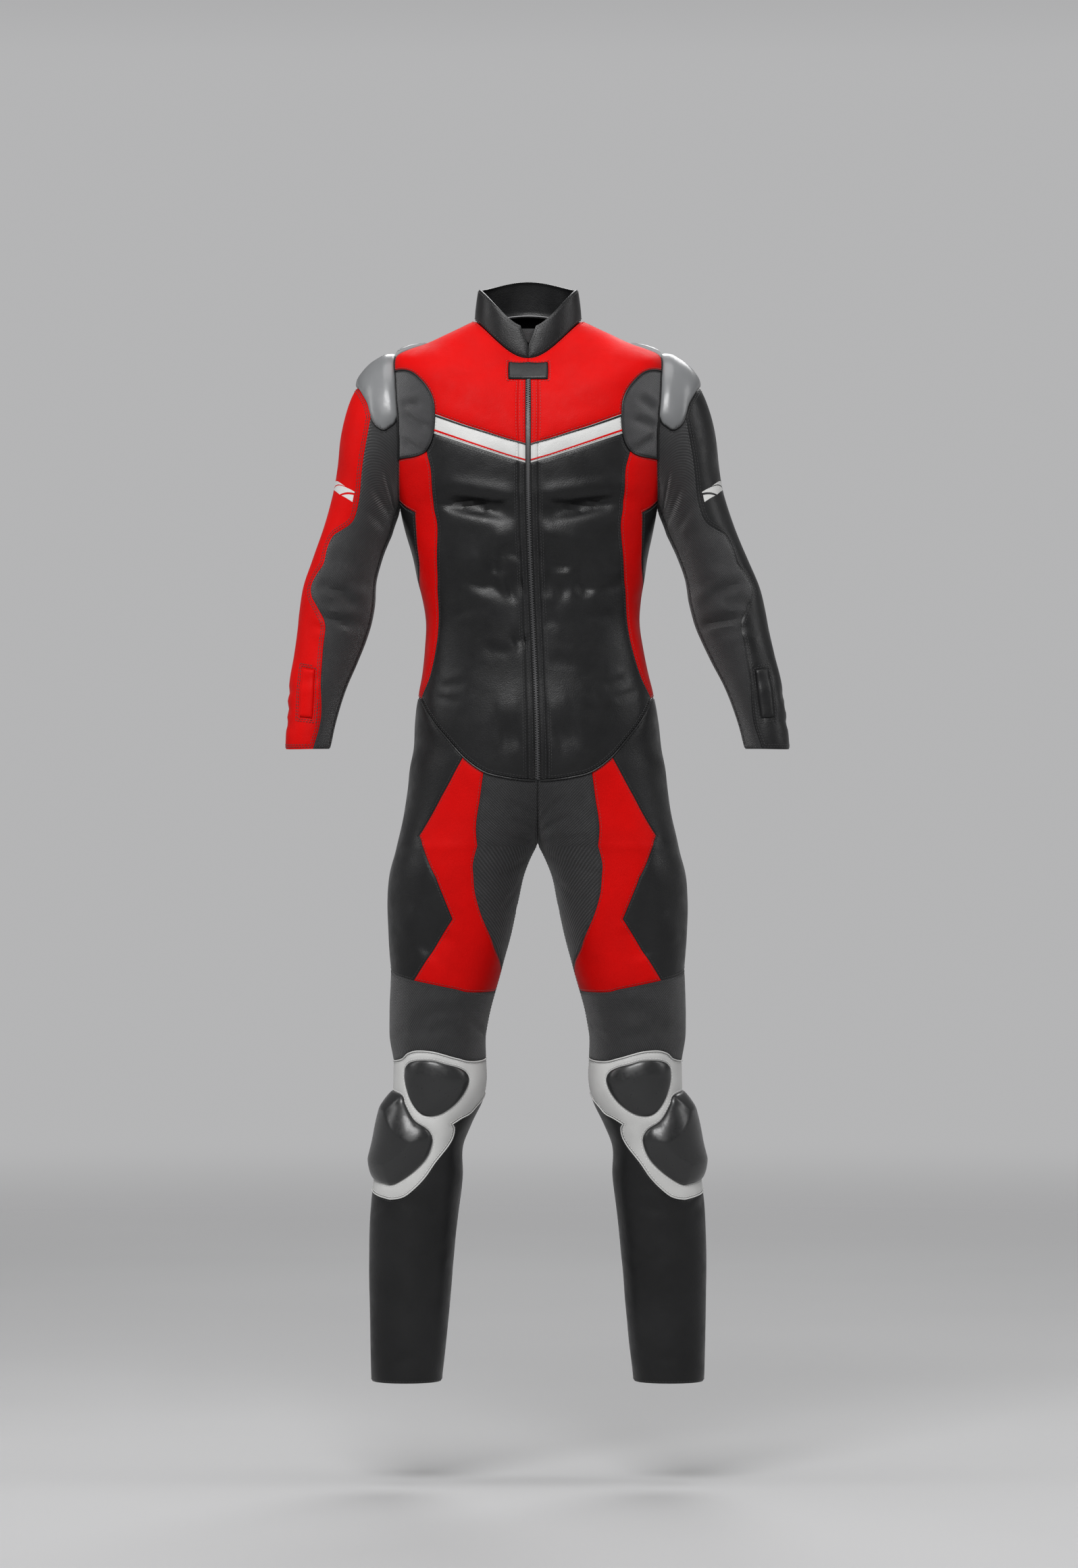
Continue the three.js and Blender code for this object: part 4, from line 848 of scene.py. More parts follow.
def panels():
    """Every panel: its surface, its outline and its holes. Paired ones are the wearer's left."""
    collar_end = lambda rise: 0.002 + np.maximum(rise - NOTCH, 0) / (1 - NOTCH) * NOTCH_HALF
    rises = np.linspace(0, 1, 12)
    ends = collar_end(rises)
    round_low = np.linspace(ends[0], 2 - ends[0], 110)
    round_high = np.linspace(2 - ends[-1], ends[-1], 100)
    rows = np.array([NOTCH + 0.06, 0.56, 0.64, 0.72, 0.8, 0.88, 0.92])
    gap = collar_end(rows) - 0.001
    gap[0] = 0
    out = {
        "collar": (
            "collar",
            join(
                np.stack([round_low, 0 * round_low], -1),
                np.stack([2 - ends, rises], -1),
                np.stack([round_high, 0 * round_high + 1], -1),
                np.stack([ends[::-1], rises[::-1]], -1),
            ),
        ),
        "collar_notch": (
            "collar",
            np.concatenate([np.stack([gap, rows], -1), np.stack([-gap[:0:-1], rows[:0:-1]], -1)]),
        ),
        "neck_tab": ("body", across(run("tab", "top", "foot")[::-1], 0)),
        "zip": (
            "body",
            across(
                join(run("tab", "foot", "zip"), run("zip", "top", "foot"), run("waist", "zip", "middle")), 0
            ),
        ),
        "placket_yoke": (
            "body",
            join(run("tab", "zip", "placket"), run("placket", "top", "yoke"), run("zip", "yoke", "top")),
        ),
        "placket_band": ("body", join(run("placket", "yoke", "band"), run("zip", "band", "yoke"))),
        "placket": (
            "body",
            join(run("placket", "band", "foot"), run("waist", "placket", "zip"), run("zip", "foot", "band")),
        ),
        "yoke_front": (
            "body",
            join(
                run("neck", "front", "shoulder"),
                run("shoulder", "neck", "tip"),
                run("tip front", "tip", "armhole"),
                run("armhole", "tip", "panel top"),
                run("armhole panel", "top", "yoke"),
                run("yoke foot", "panel", "placket"),
                run("placket", "yoke", "top"),
                run("tab", "placket", "top"),
                run("above tab", "tab", "neck"),
            ),
        ),
        "shoulder_tip": (
            "body",
            join(
                run("tip front", "tip", "armhole"),
                run("armhole", "tip", "top"),
                run("armhole", "round", "tip behind"),
                run("tip back", "armhole", "tip"),
            ),
        ),
        "chest_band": (
            "body",
            join(
                run("yoke foot", "placket", "panel"),
                run("armhole panel", "yoke", "band"),
                run("band foot", "panel", "placket"),
                run("placket", "band", "yoke"),
            ),
        ),
        "armhole_panel": (
            "body",
            join(run("armhole panel", "top", "foot"), run("armhole", "panel foot", "panel top")),
        ),
        "front_body": (
            "body",
            join(
                run("band foot", "placket", "panel"),
                run("armhole panel", "band", "side"),
                run("front side", "panel", "waist"),
                run("waist", "side", "placket"),
                run("placket", "foot", "band"),
            ),
        ),
        "side": (
            "body",
            join(
                run("armhole panel", "side", "foot"),
                run("armhole", "panel foot", "under"),
                run("underarm front", "armhole", "foot"),
                run("side", "under", "hip"),
                run("waist", "hip", "side"),
                run("front side", "waist", "panel"),
            ),
        ),
        "underarm": (
            "body",
            join(
                run("armhole", "under", "under behind"),
                run("underarm back", "armhole", "foot"),
                run("underarm front", "foot", "armhole"),
            ),
        ),
        "yoke_back": (
            "body",
            across(
                join(
                    run("neck", "back", "shoulder"),
                    run("shoulder", "neck", "tip"),
                    run("tip back", "tip", "armhole"),
                    run("armhole", "tip behind", "yoke behind"),
                    run("yoke back", "armhole", "middle"),
                ),
                1,
            ),
        ),
        "back_body": (
            "body",
            across(
                join(
                    run("yoke back", "middle", "armhole"),
                    run("armhole", "yoke behind", "under behind"),
                    run("underarm back", "armhole", "foot"),
                    run("side", "under", "hip"),
                    run("waist back", "side", "middle"),
                ),
                1,
            ),
        ),
        "seat": (
            "body",
            join(
                run("waist back", "side", "middle"),
                run("centre back", "waist", "crotch"),
                run("inseam behind", "crotch", "seat"),
                run("seat foot", "inseam", "side"),
                run("side", "seat", "hip"),
            ),
        ),
        "inner_panel": (
            "body",
            join(
                run("centre front", "waist", "crotch"),
                run("inseam", "crotch", "panel foot"),
                run("inner panel", "foot", "waist"),
                run("waist", "thigh in", "middle"),
            ),
        ),
        "thigh_panel": (
            "body",
            join(
                run("waist", "thigh out", "thigh in"),
                run("inner panel", "waist", "foot"),
                run("inseam", "panel foot", "thigh"),
                run("thigh", "inseam", "red"),
                run("red out", "thigh", "waist"),
            ),
        ),
        "thigh_outer": (
            "body",
            join(
                run("waist", "hip", "thigh out"),
                run("red out", "waist", "thigh"),
                run("thigh", "red", "side"),
                run("side", "thigh", "hip"),
            ),
        ),
        "thigh_back": (
            "body",
            join(
                run("seat foot", "side", "inseam"),
                run("inseam behind", "seat", "knee back"),
                run("knee back", "inseam", "side"),
                run("side", "knee back", "seat"),
            ),
        ),
        "over_knee": (
            "body",
            join(
                run("thigh", "inseam", "side"),
                run("side", "thigh", "frame top"),
                run("knee frame top", "side", "inseam"),
                run("inseam", "frame top", "thigh"),
            ),
        ),
        "knee_frame": (
            "body",
            join(
                run("knee frame top", "inseam", "side"),
                run("side", "frame top", "slider top"),
                run("slider edge", "top", "foot"),
                run("side", "slider foot", "frame foot"),
                run("knee frame foot", "side", "inseam"),
                run("inseam", "frame foot", "frame top"),
            ),
            seams["knee cup edge"][0][:-1],
        ),
        "knee_cup": ("body", seams["knee cup edge"][0][:-1]),
        "knee_slider": (
            "body", join(run("slider edge", "top", "foot"), run("side", "slider foot", "slider top"))
        ),
        "shin": (
            "body",
            join(
                run("knee frame foot", "inseam", "side"),
                run("side", "frame foot", "hem"),
                run("hem front", "side", "inseam"),
                run("inseam", "hem", "frame foot"),
            ),
        ),
        "calf": (
            "body",
            join(
                run("knee back", "side", "inseam"),
                run("inseam behind", "knee back", "hem"),
                run("hem back", "inseam", "side"),
                run("side", "hem", "knee back"),
            ),
        ),
        "shoulder_cup": (
            "sleeve",
            join(
                turned(run("armhole on sleeve", "cup behind", "round"), -TAU),
                run("armhole on sleeve", "top", "cup"),
                run("cup edge", "armhole", "behind"),
            ),
        ),
        "sleeve_front": (
            "sleeve",
            join(
                run("armhole on sleeve", "cup", "strip"),
                run("strip front", "armhole", "cuff"),
                run("cuff", "strip front", "seam"),
                run("sleeve front", "cuff", "cup"),
                run("cup edge", "seam", "armhole"),
            ),
        ),
        "sleeve_outer": (
            "sleeve",
            join(
                run("cup edge", "seam", "behind"),
                turned(run("armhole on sleeve", "cup behind", "strip behind"), -TAU),
                run("strip back", "armhole", "cuff"),
                run("cuff", "strip back", "seam"),
                run("sleeve front", "cuff", "cup"),
            ),
            seams["flap edge"][0][:-1],
        ),
        "sleeve_strip": (
            "sleeve",
            join(
                run("armhole on sleeve", "strip", "strip behind"),
                turned(run("strip back", "armhole", "cuff"), TAU),
                run("cuff", "round", "strip front"),
                run("strip front", "cuff", "armhole"),
            ),
        ),
        "cuff_flap": ("sleeve", seams["flap edge"][0][:-1]),
    }
    return out


SINGLE = ("collar", "collar_notch", "neck_tab", "zip", "yoke_back", "back_body")


def lengths_at(surface, p, q):
    """The local lengths and skew of a surface's parameters, as the terms of an upper triangle."""
    along, rise = slopes_at(surface, p, q)
    a = np.maximum(np.linalg.norm(along, axis=-1), 1e-6)
    b = (along * rise).sum(-1) / a
    c = np.sqrt(np.maximum((rise**2).sum(-1) - b * b, 1e-8))
    return a, b, c


def signed_area(loop):
    x, y = loop[:, 0], loop[:, 1]
    return (x * np.roll(y, -1) - y * np.roll(x, -1)).sum() / 2


def stand_back(surface, loop, by):
    """A closed outline moved inwards by a distance in mm, or outwards if that is negative."""
    p, q = loop[:, 0], loop[:, 1]
    a, b, c = lengths_at(surface, p, q)
    turn = 1 if signed_area(loop) > 0 else -1
    before, after = loop - np.roll(loop, 1, 0), np.roll(loop, -1, 0) - loop

    def inward(edge):
        x, y = a * edge[:, 0] + b * edge[:, 1], c * edge[:, 1]
        long = np.maximum(np.hypot(x, y), 1e-9)
        return -y / long * turn, x / long * turn

    x1, y1 = inward(before)
    x2, y2 = inward(after)
    open_ = np.maximum(1 + x1 * x2 + y1 * y2, 0.25)
    x, y = by * (x1 + x2) / open_, by * (y1 + y2) / open_
    lift = y / c
    return np.stack([p + (x - b * lift) / a, q + lift], -1)


def inside(loops, x, y):
    odd = np.zeros(x.shape, bool)
    for loop in loops:
        ax, ay = loop[:, 0], loop[:, 1]
        bx, by = np.roll(ax, 1), np.roll(ay, 1)
        for i in range(len(loop)):
            if ay[i] == by[i]:
                continue
            hit = (ay[i] > y) != (by[i] > y)
            odd[hit] ^= x[hit] < (bx[i] - ax[i]) * (y[hit] - ay[i]) / (by[i] - ay[i]) + ax[i]
    return odd


# Small creases and a few wide soft hollows, as rows of where they start and end, depth and half width. Each
# side has its own, because worn leather never creases alike on both. The places are the surface's parameters.
CREASES = {
    ("body", "left"): fold_table(
        [
            [0.03, -262, 0.3, -247, 7.5, 15],
            [0.03, -316, 0.17, -326, 7, 15],
            [0.16, -330, 0.22, -372, 5.5, 14],
            [0.04, -348, 0.15, -366, 6, 18],
            [0.04, -404, 0.1, -402, 2.5, 12],
            [0.06, -562, 0.15, -550, 4, 20],
            [0.27, -806, 0.31, -852, 5, 20],
            [0.28, -934, 0.34, -948, 3, 14],
            [0.11, -262, 0.3, -243, 2.2, 7],
            [0.04, -244, 0.12, -254, 1.6, 6],
            [0.05, -322, 0.15, -338, 2.2, 7],
            [0.14, -372, 0.33, -354, 2.4, 8],
            [0.03, -391, 0.1, -384, 1.3, 6],
            [0.2, -402, 0.3, -396, 1.4, 7],
            [0.05, -457, 0.16, -463, 1.1, 9],
            [0.24, -493, 0.33, -482, 1.5, 6],
            [0.27, -508, 0.36, -498, 1.3, 5],
            [0.3, -176, 0.37, -156, 4.5, 6.5],
            [0.3, -124, 0.37, -146, 4.2, 6],
            [0.32, -92, 0.37, -120, 4, 5.5],
            [0.02, -668, 0.1, -640, 1.3, 4],
            [0.03, -684, 0.14, -664, 1.5, 4],
            [0.04, -697, 0.2, -692, 1.4, 4],
            [0.06, -716, 0.2, -740, 1.4, 5],
            [0.04, -742, 0.14, -776, 1.2, 5],
            [0.14, -925, 0.34, -918, 1.4, 9],
            [0.2, -956, 0.42, -948, 1.6, 7],
            [0.06, -944, 0.16, -962, 1.3, 5],
            [0.12, -1180, 0.3, -1192, 1.3, 9],
            [0.36, -1196, 0.47, -1180, 1.2, 7],
            [0.1, -1262, 0.26, -1250, 1.2, 9],
            [0.14, -1392, 0.3, -1386, 1.3, 7],
            [0.6, -268, 0.76, -252, 1.8, 8],
            [0.64, -318, 0.86, -330, 1.6, 8],
            [0.62, -352, 0.8, -366, 2, 8],
            [0.78, -408, 0.96, -402, 1.8, 7],
            [0.66, -462, 0.9, -468, 1.7, 8],
            [0.6, -492, 0.72, -478, 1.5, 6],
            [0.74, -120, 0.9, -128, 1.3, 9],
            [0.66, -180, 0.78, -210, 1.8, 8],
            [0.74, -640, 0.96, -676, 1.6, 7],
            [0.66, -700, 0.88, -722, 1.5, 7],
            [0.72, -742, 0.95, -754, 1.9, 6],
            [0.62, -800, 0.78, -812, 1.5, 8],
            [0.66, -948, 0.88, -938, 1.7, 6],
            [0.64, -1004, 0.8, -1000, 1.9, 6],
            [0.7, -1044, 0.9, -1052, 1.8, 7],
            [0.6, -1124, 0.76, -1112, 1.2, 9],
            [0.66, -1348, 0.86, -1340, 1.3, 8],
            [0.6, -1388, 0.74, -1396, 1.4, 7],
        ]
    ),
    ("body", "right"): fold_table(
        [
            [0.04, -264, 0.28, -246, 7.5, 15],
            [0.03, -314, 0.12, -322, 6.5, 14],
            [0.12, -326, 0.16, -364, 5.5, 16],
            [0.03, -350, 0.1, -366, 6.5, 18],
            [0.03, -430, 0.08, -436, 3, 14],
            [0.05, -556, 0.14, -562, 4, 20],
            [0.26, -812, 0.32, -848, 5, 20],
            [0.27, -940, 0.33, -934, 3, 14],
            [0.13, -256, 0.29, -249, 2.5, 7],
            [0.03, -243, 0.12, -256, 1.8, 6],
            [0.14, -344, 0.27, -334, 2.2, 7],
            [0.06, -308, 0.16, -327, 1.4, 9],
            [0.06, -378, 0.22, -356, 2.2, 9],
            [0.2, -384, 0.3, -398, 1.5, 7],
            [0.02, -432, 0.09, -427, 2.1, 5],
            [0.09, -447, 0.2, -441, 1.2, 8],
            [0.24, -486, 0.34, -494, 1.5, 6],
            [0.26, -512, 0.35, -506, 1.3, 5],
            [0.29, -178, 0.37, -162, 4, 6.5],
            [0.29, -142, 0.37, -122, 4.6, 6.5],
            [0.31, -100, 0.37, -112, 3.6, 5.5],
            [0.02, -662, 0.11, -646, 1.4, 4],
            [0.03, -680, 0.13, -668, 1.3, 4],
            [0.05, -698, 0.19, -688, 1.5, 4],
            [0.05, -720, 0.17, -748, 1.3, 5],
            [0.04, -750, 0.12, -790, 1.2, 5],
            [0.12, -918, 0.3, -926, 1.4, 9],
            [0.2, -946, 0.4, -954, 1.7, 7],
            [0.05, -958, 0.15, -942, 1.3, 5],
            [0.14, -1186, 0.32, -1178, 1.2, 9],
            [0.36, -1184, 0.46, -1200, 1.3, 7],
            [0.1, -1246, 0.24, -1262, 1.3, 9],
            [0.16, -1384, 0.33, -1392, 1.2, 7],
            [0.6, -256, 0.74, -270, 1.7, 8],
            [0.62, -326, 0.84, -316, 1.8, 8],
            [0.64, -366, 0.84, -356, 1.9, 7],
            [0.76, -416, 0.98, -412, 1.6, 7],
            [0.64, -470, 0.86, -458, 1.8, 8],
            [0.6, -478, 0.7, -494, 1.4, 6],
            [0.72, -130, 0.88, -120, 1.4, 9],
            [0.67, -200, 0.79, -190, 1.6, 8],
            [0.72, -656, 0.94, -662, 1.5, 7],
            [0.68, -714, 0.9, -706, 1.6, 7],
            [0.7, -752, 0.92, -744, 1.8, 6],
            [0.64, -812, 0.82, -800, 1.5, 8],
            [0.64, -938, 0.84, -946, 1.6, 6],
            [0.66, -1000, 0.82, -1008, 1.8, 6],
            [0.68, -1050, 0.86, -1042, 1.9, 7],
            [0.62, -1112, 0.8, -1122, 1.3, 9],
            [0.64, -1340, 0.82, -1352, 1.2, 8],
            [0.6, -1396, 0.76, -1388, 1.3, 7],
        ]
    ),
    ("sleeve", "left"): fold_table(
        [
            [0.85, 236, 2.1, 243, 4.4, 5.5],
            [0.9, 262, 1.8, 252, 3, 5],
            [1.2, 272, 2.7, 277, 3.8, 5.5],
            [1.7, 228, 2.8, 232, 1.8, 7],
            [1.1, 286, 2.1, 292, 1.6, 6],
            [1.0, 214, 1.8, 204, 1.3, 8],
            [2.0, 44, 2.9, 70, 2, 7],
            [1.8, 96, 2.8, 112, 1.6, 8],
            [1.5, 136, 2.4, 150, 1.3, 9],
            [1.2, 178, 2.2, 168, 1.2, 9],
            [0.7, 352, 1.6, 360, 1.2, 7],
            [-0.6, 372, 0.6, 380, 1.4, 6],
            [-1.0, 392, 0.4, 388, 1.5, 5],
            [-0.3, 406, 1.0, 402, 1.3, 5],
            [-1.9, 240, -0.7, 236, 1.2, 9],
            [-2.2, 268, -1.2, 276, 1.2, 9],
            [-2.6, 120, -1.4, 108, 1.5, 9],
            [-2.0, 60, -1.1, 48, 1.5, 8],
        ]
    ),
    ("sleeve", "right"): fold_table(
        [
            [0.9, 238, 2.0, 246, 4.6, 5.5],
            [1.2, 259, 2.2, 252, 3, 5],
            [1.1, 270, 2.2, 281, 4, 5.5],
            [1.6, 232, 2.6, 226, 1.9, 7],
            [0.9, 288, 1.9, 284, 1.5, 6],
            [1.1, 206, 2.0, 212, 1.3, 8],
            [1.9, 52, 2.8, 64, 2.1, 7],
            [1.6, 104, 2.7, 98, 1.6, 8],
            [1.7, 144, 2.5, 136, 1.4, 9],
            [1.1, 168, 2.0, 180, 1.2, 9],
            [0.8, 360, 1.7, 352, 1.2, 7],
            [-0.5, 376, 0.8, 370, 1.6, 5],
            [-0.8, 388, 0.6, 394, 1.7, 5],
            [-0.4, 404, 0.9, 408, 1.4, 5],
            [-1.8, 234, -0.6, 242, 1.2, 9],
            [-2.3, 276, -1.1, 270, 1.2, 9],
            [-2.5, 108, -1.3, 118, 1.5, 9],
            [-2.1, 50, -1.0, 58, 1.5, 8],
        ]
    ),
}
SIDES = {1: "left", -1: "right"}


def crease_lift(surface, p, q, side):
    """How far the small creases raise or sink the cloth: each is a trough with a low ridge above it."""
    if surface == "collar":
        return 0 * p
    fold = CREASES[surface, SIDES[side]]
    share, off = along_fold(surface, fold, p, q)
    fade = 0.12 + 0.88 * np.minimum(1.6 * np.sin(np.pi * share), 1)
    shape = 0.4 * np.exp(-(((off - 1.8) / 0.9) ** 2)) - np.exp(-off * off)
    return bpy.context.scene.suit_sizes.creases * (fold["deep"] * fade * shape).sum(-1)


WAVER = 0.5  # mm, the slow unevenness of worn leather
WAVER_LENGTH = 42
GROOVE = 1.1  # how far the edge of a panel sinks into its seam
GROOVE_WIDTH = 2.2
PUFF = 0.5  # how far a panel rises between its seams
PUFF_REACH = 9  # how far from a seam most of that rise lies


def waver(points):
    places = points / WAVER_LENGTH
    return WAVER * np.array([noise(Vector(place)) for place in places])


def skin(surface, p, q, side, lift):
    """Points of the worn suit at parameters, raised by a lift, with the way out of it there."""
    p, q = np.asarray(p, float), np.asarray(q, float)
    over = (surface != "sleeve") & ((p < 0) | (p > 1)) & ((q > CROTCH) | (surface == "collar"))
    at = np.where(over & (p < 0), -p, np.where(over & (p > 1), 2 - p, p))
    crease = np.where(over, crease_lift(surface, at, q, -side), crease_lift(surface, at, q, side))
    points = SURFACES[surface](p, q)
    out = out_at(surface, p, q)
    here = points * (side, 1, 1)
    return points + out * (crease + waver(here) + lift)[:, None], out


def flat_scale(surface, loop):
    a, _, c = lengths_at(surface, loop[:, 0], loop[:, 1])
    return np.array([a.mean(), c.mean()])


def tree_of(points):
    tree = KDTree(len(points))
    for i, point in enumerate(points):
        tree.insert(point, i)
    tree.balance()
    return tree


def distances(tree, points):
    return np.array([tree.find(point)[2] for point in points])


def cleaned(loop):
    return loop[np.abs(loop - np.roll(loop, 1, 0)).max(1) > 1e-7]


SEAM_GAP = 0.15
EDGE_ROWS = (1.0, 2.6, 4.8)


class Flat:
    """A panel laid flat: its points and triangles as parameters, with each point's distance from the edge."""

    def __init__(self, surface, outline, holes, grid):
        self.surface = surface
        self.loops = [stand_back(surface, cleaned(outline), SEAM_GAP)]
        self.loops += [stand_back(surface, cleaned(hole), -SEAM_GAP) for hole in holes]
        self.scale = flat_scale(surface, self.loops[0])
        edge = np.concatenate(
            [np.concatenate([loop, (loop + np.roll(loop, -1, 0)) / 2]) for loop in self.loops]
        )
        self.edge_tree = tree_of(SURFACES[surface](edge[:, 0], edge[:, 1]))
        points, far = list(self.loops), [np.zeros(len(loop)) for loop in self.loops]
        for row in EDGE_ROWS:
            for i, loop in enumerate(self.loops):
                inner = stand_back(surface, loop, row if i == 0 else -row)
                kept = inner[self.within(inner, 0.88 * row)]
                points.append(kept)
                far.append(np.full(len(kept), row))
        even = self.even_points(grid)
        off = distances(self.edge_tree, SURFACES[surface](even[:, 0], even[:, 1]))
        even, off = even[off > EDGE_ROWS[-1] + 0.45 * grid], off[off > EDGE_ROWS[-1] + 0.45 * grid]
        points.append(even)
        far.append(off)
        self.join(np.concatenate(points), np.concatenate(far))

    def within(self, points, least):
        flat = points * self.scale
        inner = inside([loop * self.scale for loop in self.loops], flat[:, 0], flat[:, 1])
        return inner & (distances(self.edge_tree, SURFACES[self.surface](points[:, 0], points[:, 1])) > least)

    def even_points(self, grid):
        flat = self.loops[0] * self.scale
        low, high = flat.min(0), flat.max(0)
        row = grid * math.sqrt(3) / 2
        x, y = np.meshgrid(np.arange(low[0], high[0], grid), np.arange(low[1] + row / 2, high[1], row))
        x = x + (np.arange(len(y)) % 2 * grid / 2)[:, None]
        x, y = x.ravel(), y.ravel()
        kept = inside([loop * self.scale for loop in self.loops], x, y)
        return np.stack([x[kept], y[kept]], -1) / self.scale

    def join(self, points, far):
        edges, first = [], 0
        for loop in self.loops:
            n = len(loop)
            edges += [(first + i, first + (i + 1) % n) for i in range(n)]
            first += n
        flat = points * self.scale
        made = delaunay_2d_cdt([Vector(v) for v in flat], edges, [], 0, 1e-5)
        flat = np.array([tuple(v) for v in made[0]])
        faces = np.array([face for face in made[2] if len(face) == 3], int)
        self.far = np.array([far[origin[0]] if origin else 0.0 for origin in made[3]])
        middle = flat[faces].mean(1)
        faces = faces[inside([loop * self.scale for loop in self.loops], middle[:, 0], middle[:, 1])]
        a, b, c = (flat[faces[:, i]] for i in range(3))
        area = (b[:, 0] - a[:, 0]) * (c[:, 1] - a[:, 1]) - (c[:, 0] - a[:, 0]) * (b[:, 1] - a[:, 1])
        faces[area < 0] = faces[area < 0][:, ::-1]
        self.points, self.flat, self.faces = flat / self.scale, flat, faces[np.abs(area) > 1e-9]


def rim(faces):
    """The edges that only one triangle uses, in that triangle's order."""
    pairs = np.concatenate([faces[:, [0, 1]], faces[:, [1, 2]], faces[:, [2, 0]]])
    known = {tuple(pair) for pair in pairs.tolist()}
    return np.array([pair for pair in pairs.tolist() if (pair[1], pair[0]) not in known], int)


def make_object(name, points, faces, material, uv=None, sharp=35, smooth=True):
    """A mesh object from points in mm on the upright suit; it leans as the wearer does and becomes metres."""
    points = np.array(points, float)
    points[:, 0] += lean(points[:, 2])
    mesh = bpy.data.meshes.new(name)
    mesh.from_pydata((points * MM).tolist(), [], faces if isinstance(faces, list) else faces.tolist())
    mesh.polygons.foreach_set("use_smooth", [smooth] * len(mesh.polygons))
    if smooth:
        mesh.set_sharp_from_angle(angle=math.radians(sharp))
    if uv is not None:
        layer = mesh.uv_layers.new(name="UVMap")
        corner = np.zeros(len(mesh.loops), np.int32)
        mesh.loops.foreach_get("vertex_index", corner)
        layer.data.foreach_set("uv", np.asarray(uv, float)[corner].ravel())
    mesh.materials.append(material)
    made = bpy.data.objects.new(name, mesh)
    bpy.context.collection.objects.link(made)
    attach(made, "root")
    return made


def swell_of(kind, far):
    """How far a hard part stands proud at a distance from its edge."""
    high, over, facet = GUARDS[kind]
    t = np.clip(far / over, 0, 1)
    return high * (facet * t + (1 - facet) * np.sqrt(np.maximum(1 - (1 - t) ** 2, 0)))


# Hard parts: the height, the width of the slope, and how much of it is a straight facet rather than round.
GUARDS = {
    "shoulder_tip": (7, 14, 0),
    "shoulder_cup": (6, 16, 0),
    "knee_cup": (6, 20, 0.5),
    "knee_slider": (15, 26, 0.55),
    "neck_tab": (2, 5, 0),
    "cuff_flap": (2, 5, 0),
}


def shell(name, panel, side, material, grid=5.0):
    """One panel as a closed thin wall, on the wearer's left (1) or right (-1) or across the middle (1)."""
    flat = flat_panel(panel, grid)
    surface = flat.surface
    p, q = flat.points.T
    if panel in GUARDS:
        lift = swell_of(panel, flat.far)
        wall = 3.0
    elif panel.startswith(("slash", "stripe")):
        lift = OVERLAY_LIFT + PUFF * (1 - np.exp(-((flat.far / PUFF_REACH) ** 2)))
        wall = OVERLAY_WALL
    else:
        lift = (
            PUFF * (1 - np.exp(-((flat.far / PUFF_REACH) ** 2)))
            - GROOVE * np.exp(-((flat.far / GROOVE_WIDTH) ** 2))
        )
        wall = bpy.context.scene.suit_sizes.wall / MM
    outer, out = skin(surface, p, q, side, lift)
    under = wall + lift if panel == "knee_slider" else wall
    inner = outer - out * np.broadcast_to(under, lift.shape)[:, None]
    n = len(outer)
    edge = rim(flat.faces)
    walls = np.concatenate([
        np.stack([edge[:, 1], edge[:, 0], edge[:, 0] + n], -1),
        np.stack([edge[:, 1], edge[:, 0] + n, edge[:, 1] + n], -1),
    ])
    faces = np.concatenate([flat.faces, flat.faces[:, ::-1] + n, walls])
    points = np.concatenate([outer, inner])
    a, b, c = (outer[flat.faces[:, i]] for i in range(3))
    normals = np.cross(b - a, c - a)
    if (normals * out[flat.faces[:, 0]]).sum() < 0:
        faces = faces[:, ::-1]
    if side < 0:
        points = points * (-1, 1, 1)
        faces = faces[:, ::-1]
    uv = np.concatenate([flat.flat, flat.flat]) * MM
    made = make_object(name, points, faces, material, uv)
    area = np.linalg.norm(normals, axis=1).sum() / 2
    return made, flat, area


kept_panels = {}


def flat_panel(panel, grid):
    if panel not in kept_panels:
        surface, outline, *holes = PANELS[panel]
        kept_panels[panel] = Flat(surface, outline, holes, grid)
    return kept_panels[panel]


LEAST_CUT = 0.0101  # metres, the narrowest cut that can be declared
LEAST_SHARE = 0.301  # of width by length, the smallest area that can be declared


def declare_sheet(flat, area):
    """The cut of the cloth: its width and length as laid flat along its two main directions, and its area.

    All three are held to the limits of what can be declared, which raises narrow pieces and open frames.
    Nothing uses them after.
    """
    outline = flat.loops[0] * flat.scale
    outline = outline - outline.mean(0)
    _, directions = np.linalg.eigh(outline.T @ outline)
    reach = outline @ directions
    width, length = np.maximum((reach.max(0) - reach.min(0)) * MM, LEAST_CUT)
    area = min(max(area * MM * MM, LEAST_SHARE * width * length), width * length)


# The three light patches of each outer sleeve, which lie in one slanted band: corners as seen from the front.
SLASHES = (
    [(255.8, -215.9), (258.1, -215.9), (261.6, -224.6), (244.3, -224.2)],
    [(242.5, -225.7), (262.0, -226.5), (251.7, -235.0), (231.5, -233.8), (231.5, -231.9)],
    [(232.5, -236.1), (249.4, -236.4), (234.5, -245.8)],
)


def build_slashes():
    """The light patches as outlines on the sleeve."""
    out = {}
    for i, corners in enumerate(SLASHES):
        name = f"slash_{i + 1}"
        line = seen("sleeve", corners, (0.9, 150))
        seam(name, "sleeve", [*line, line[0]])
        out[name] = ("sleeve", seams[name][0][:-1])
    return out


def build_stripes():
    """A dark stripe under the yoke and a red one above the lower edge of the light chest band."""
    out = {}
    for name, mark_name, top, foot in (("stripe_dark", "yoke", -0.8, -4.6), ("stripe_red", "band", 7.6, 4.2)):
        line = join(
            np.concatenate([run("zip", mark_name, mark_name), run("placket", mark_name, mark_name)]),
            run(mark_name + " foot", "placket", "panel"),
        )
        upper, lower = line + (0, top), line + (0, foot)
        out[name] = ("body", np.concatenate([upper, lower[::-1]]))
    return out


all_seams()
PANELS = {**panels(), **build_slashes(), **build_stripes()}
OVERLAY_LIFT = 0.55
OVERLAY_WALL = 0.9


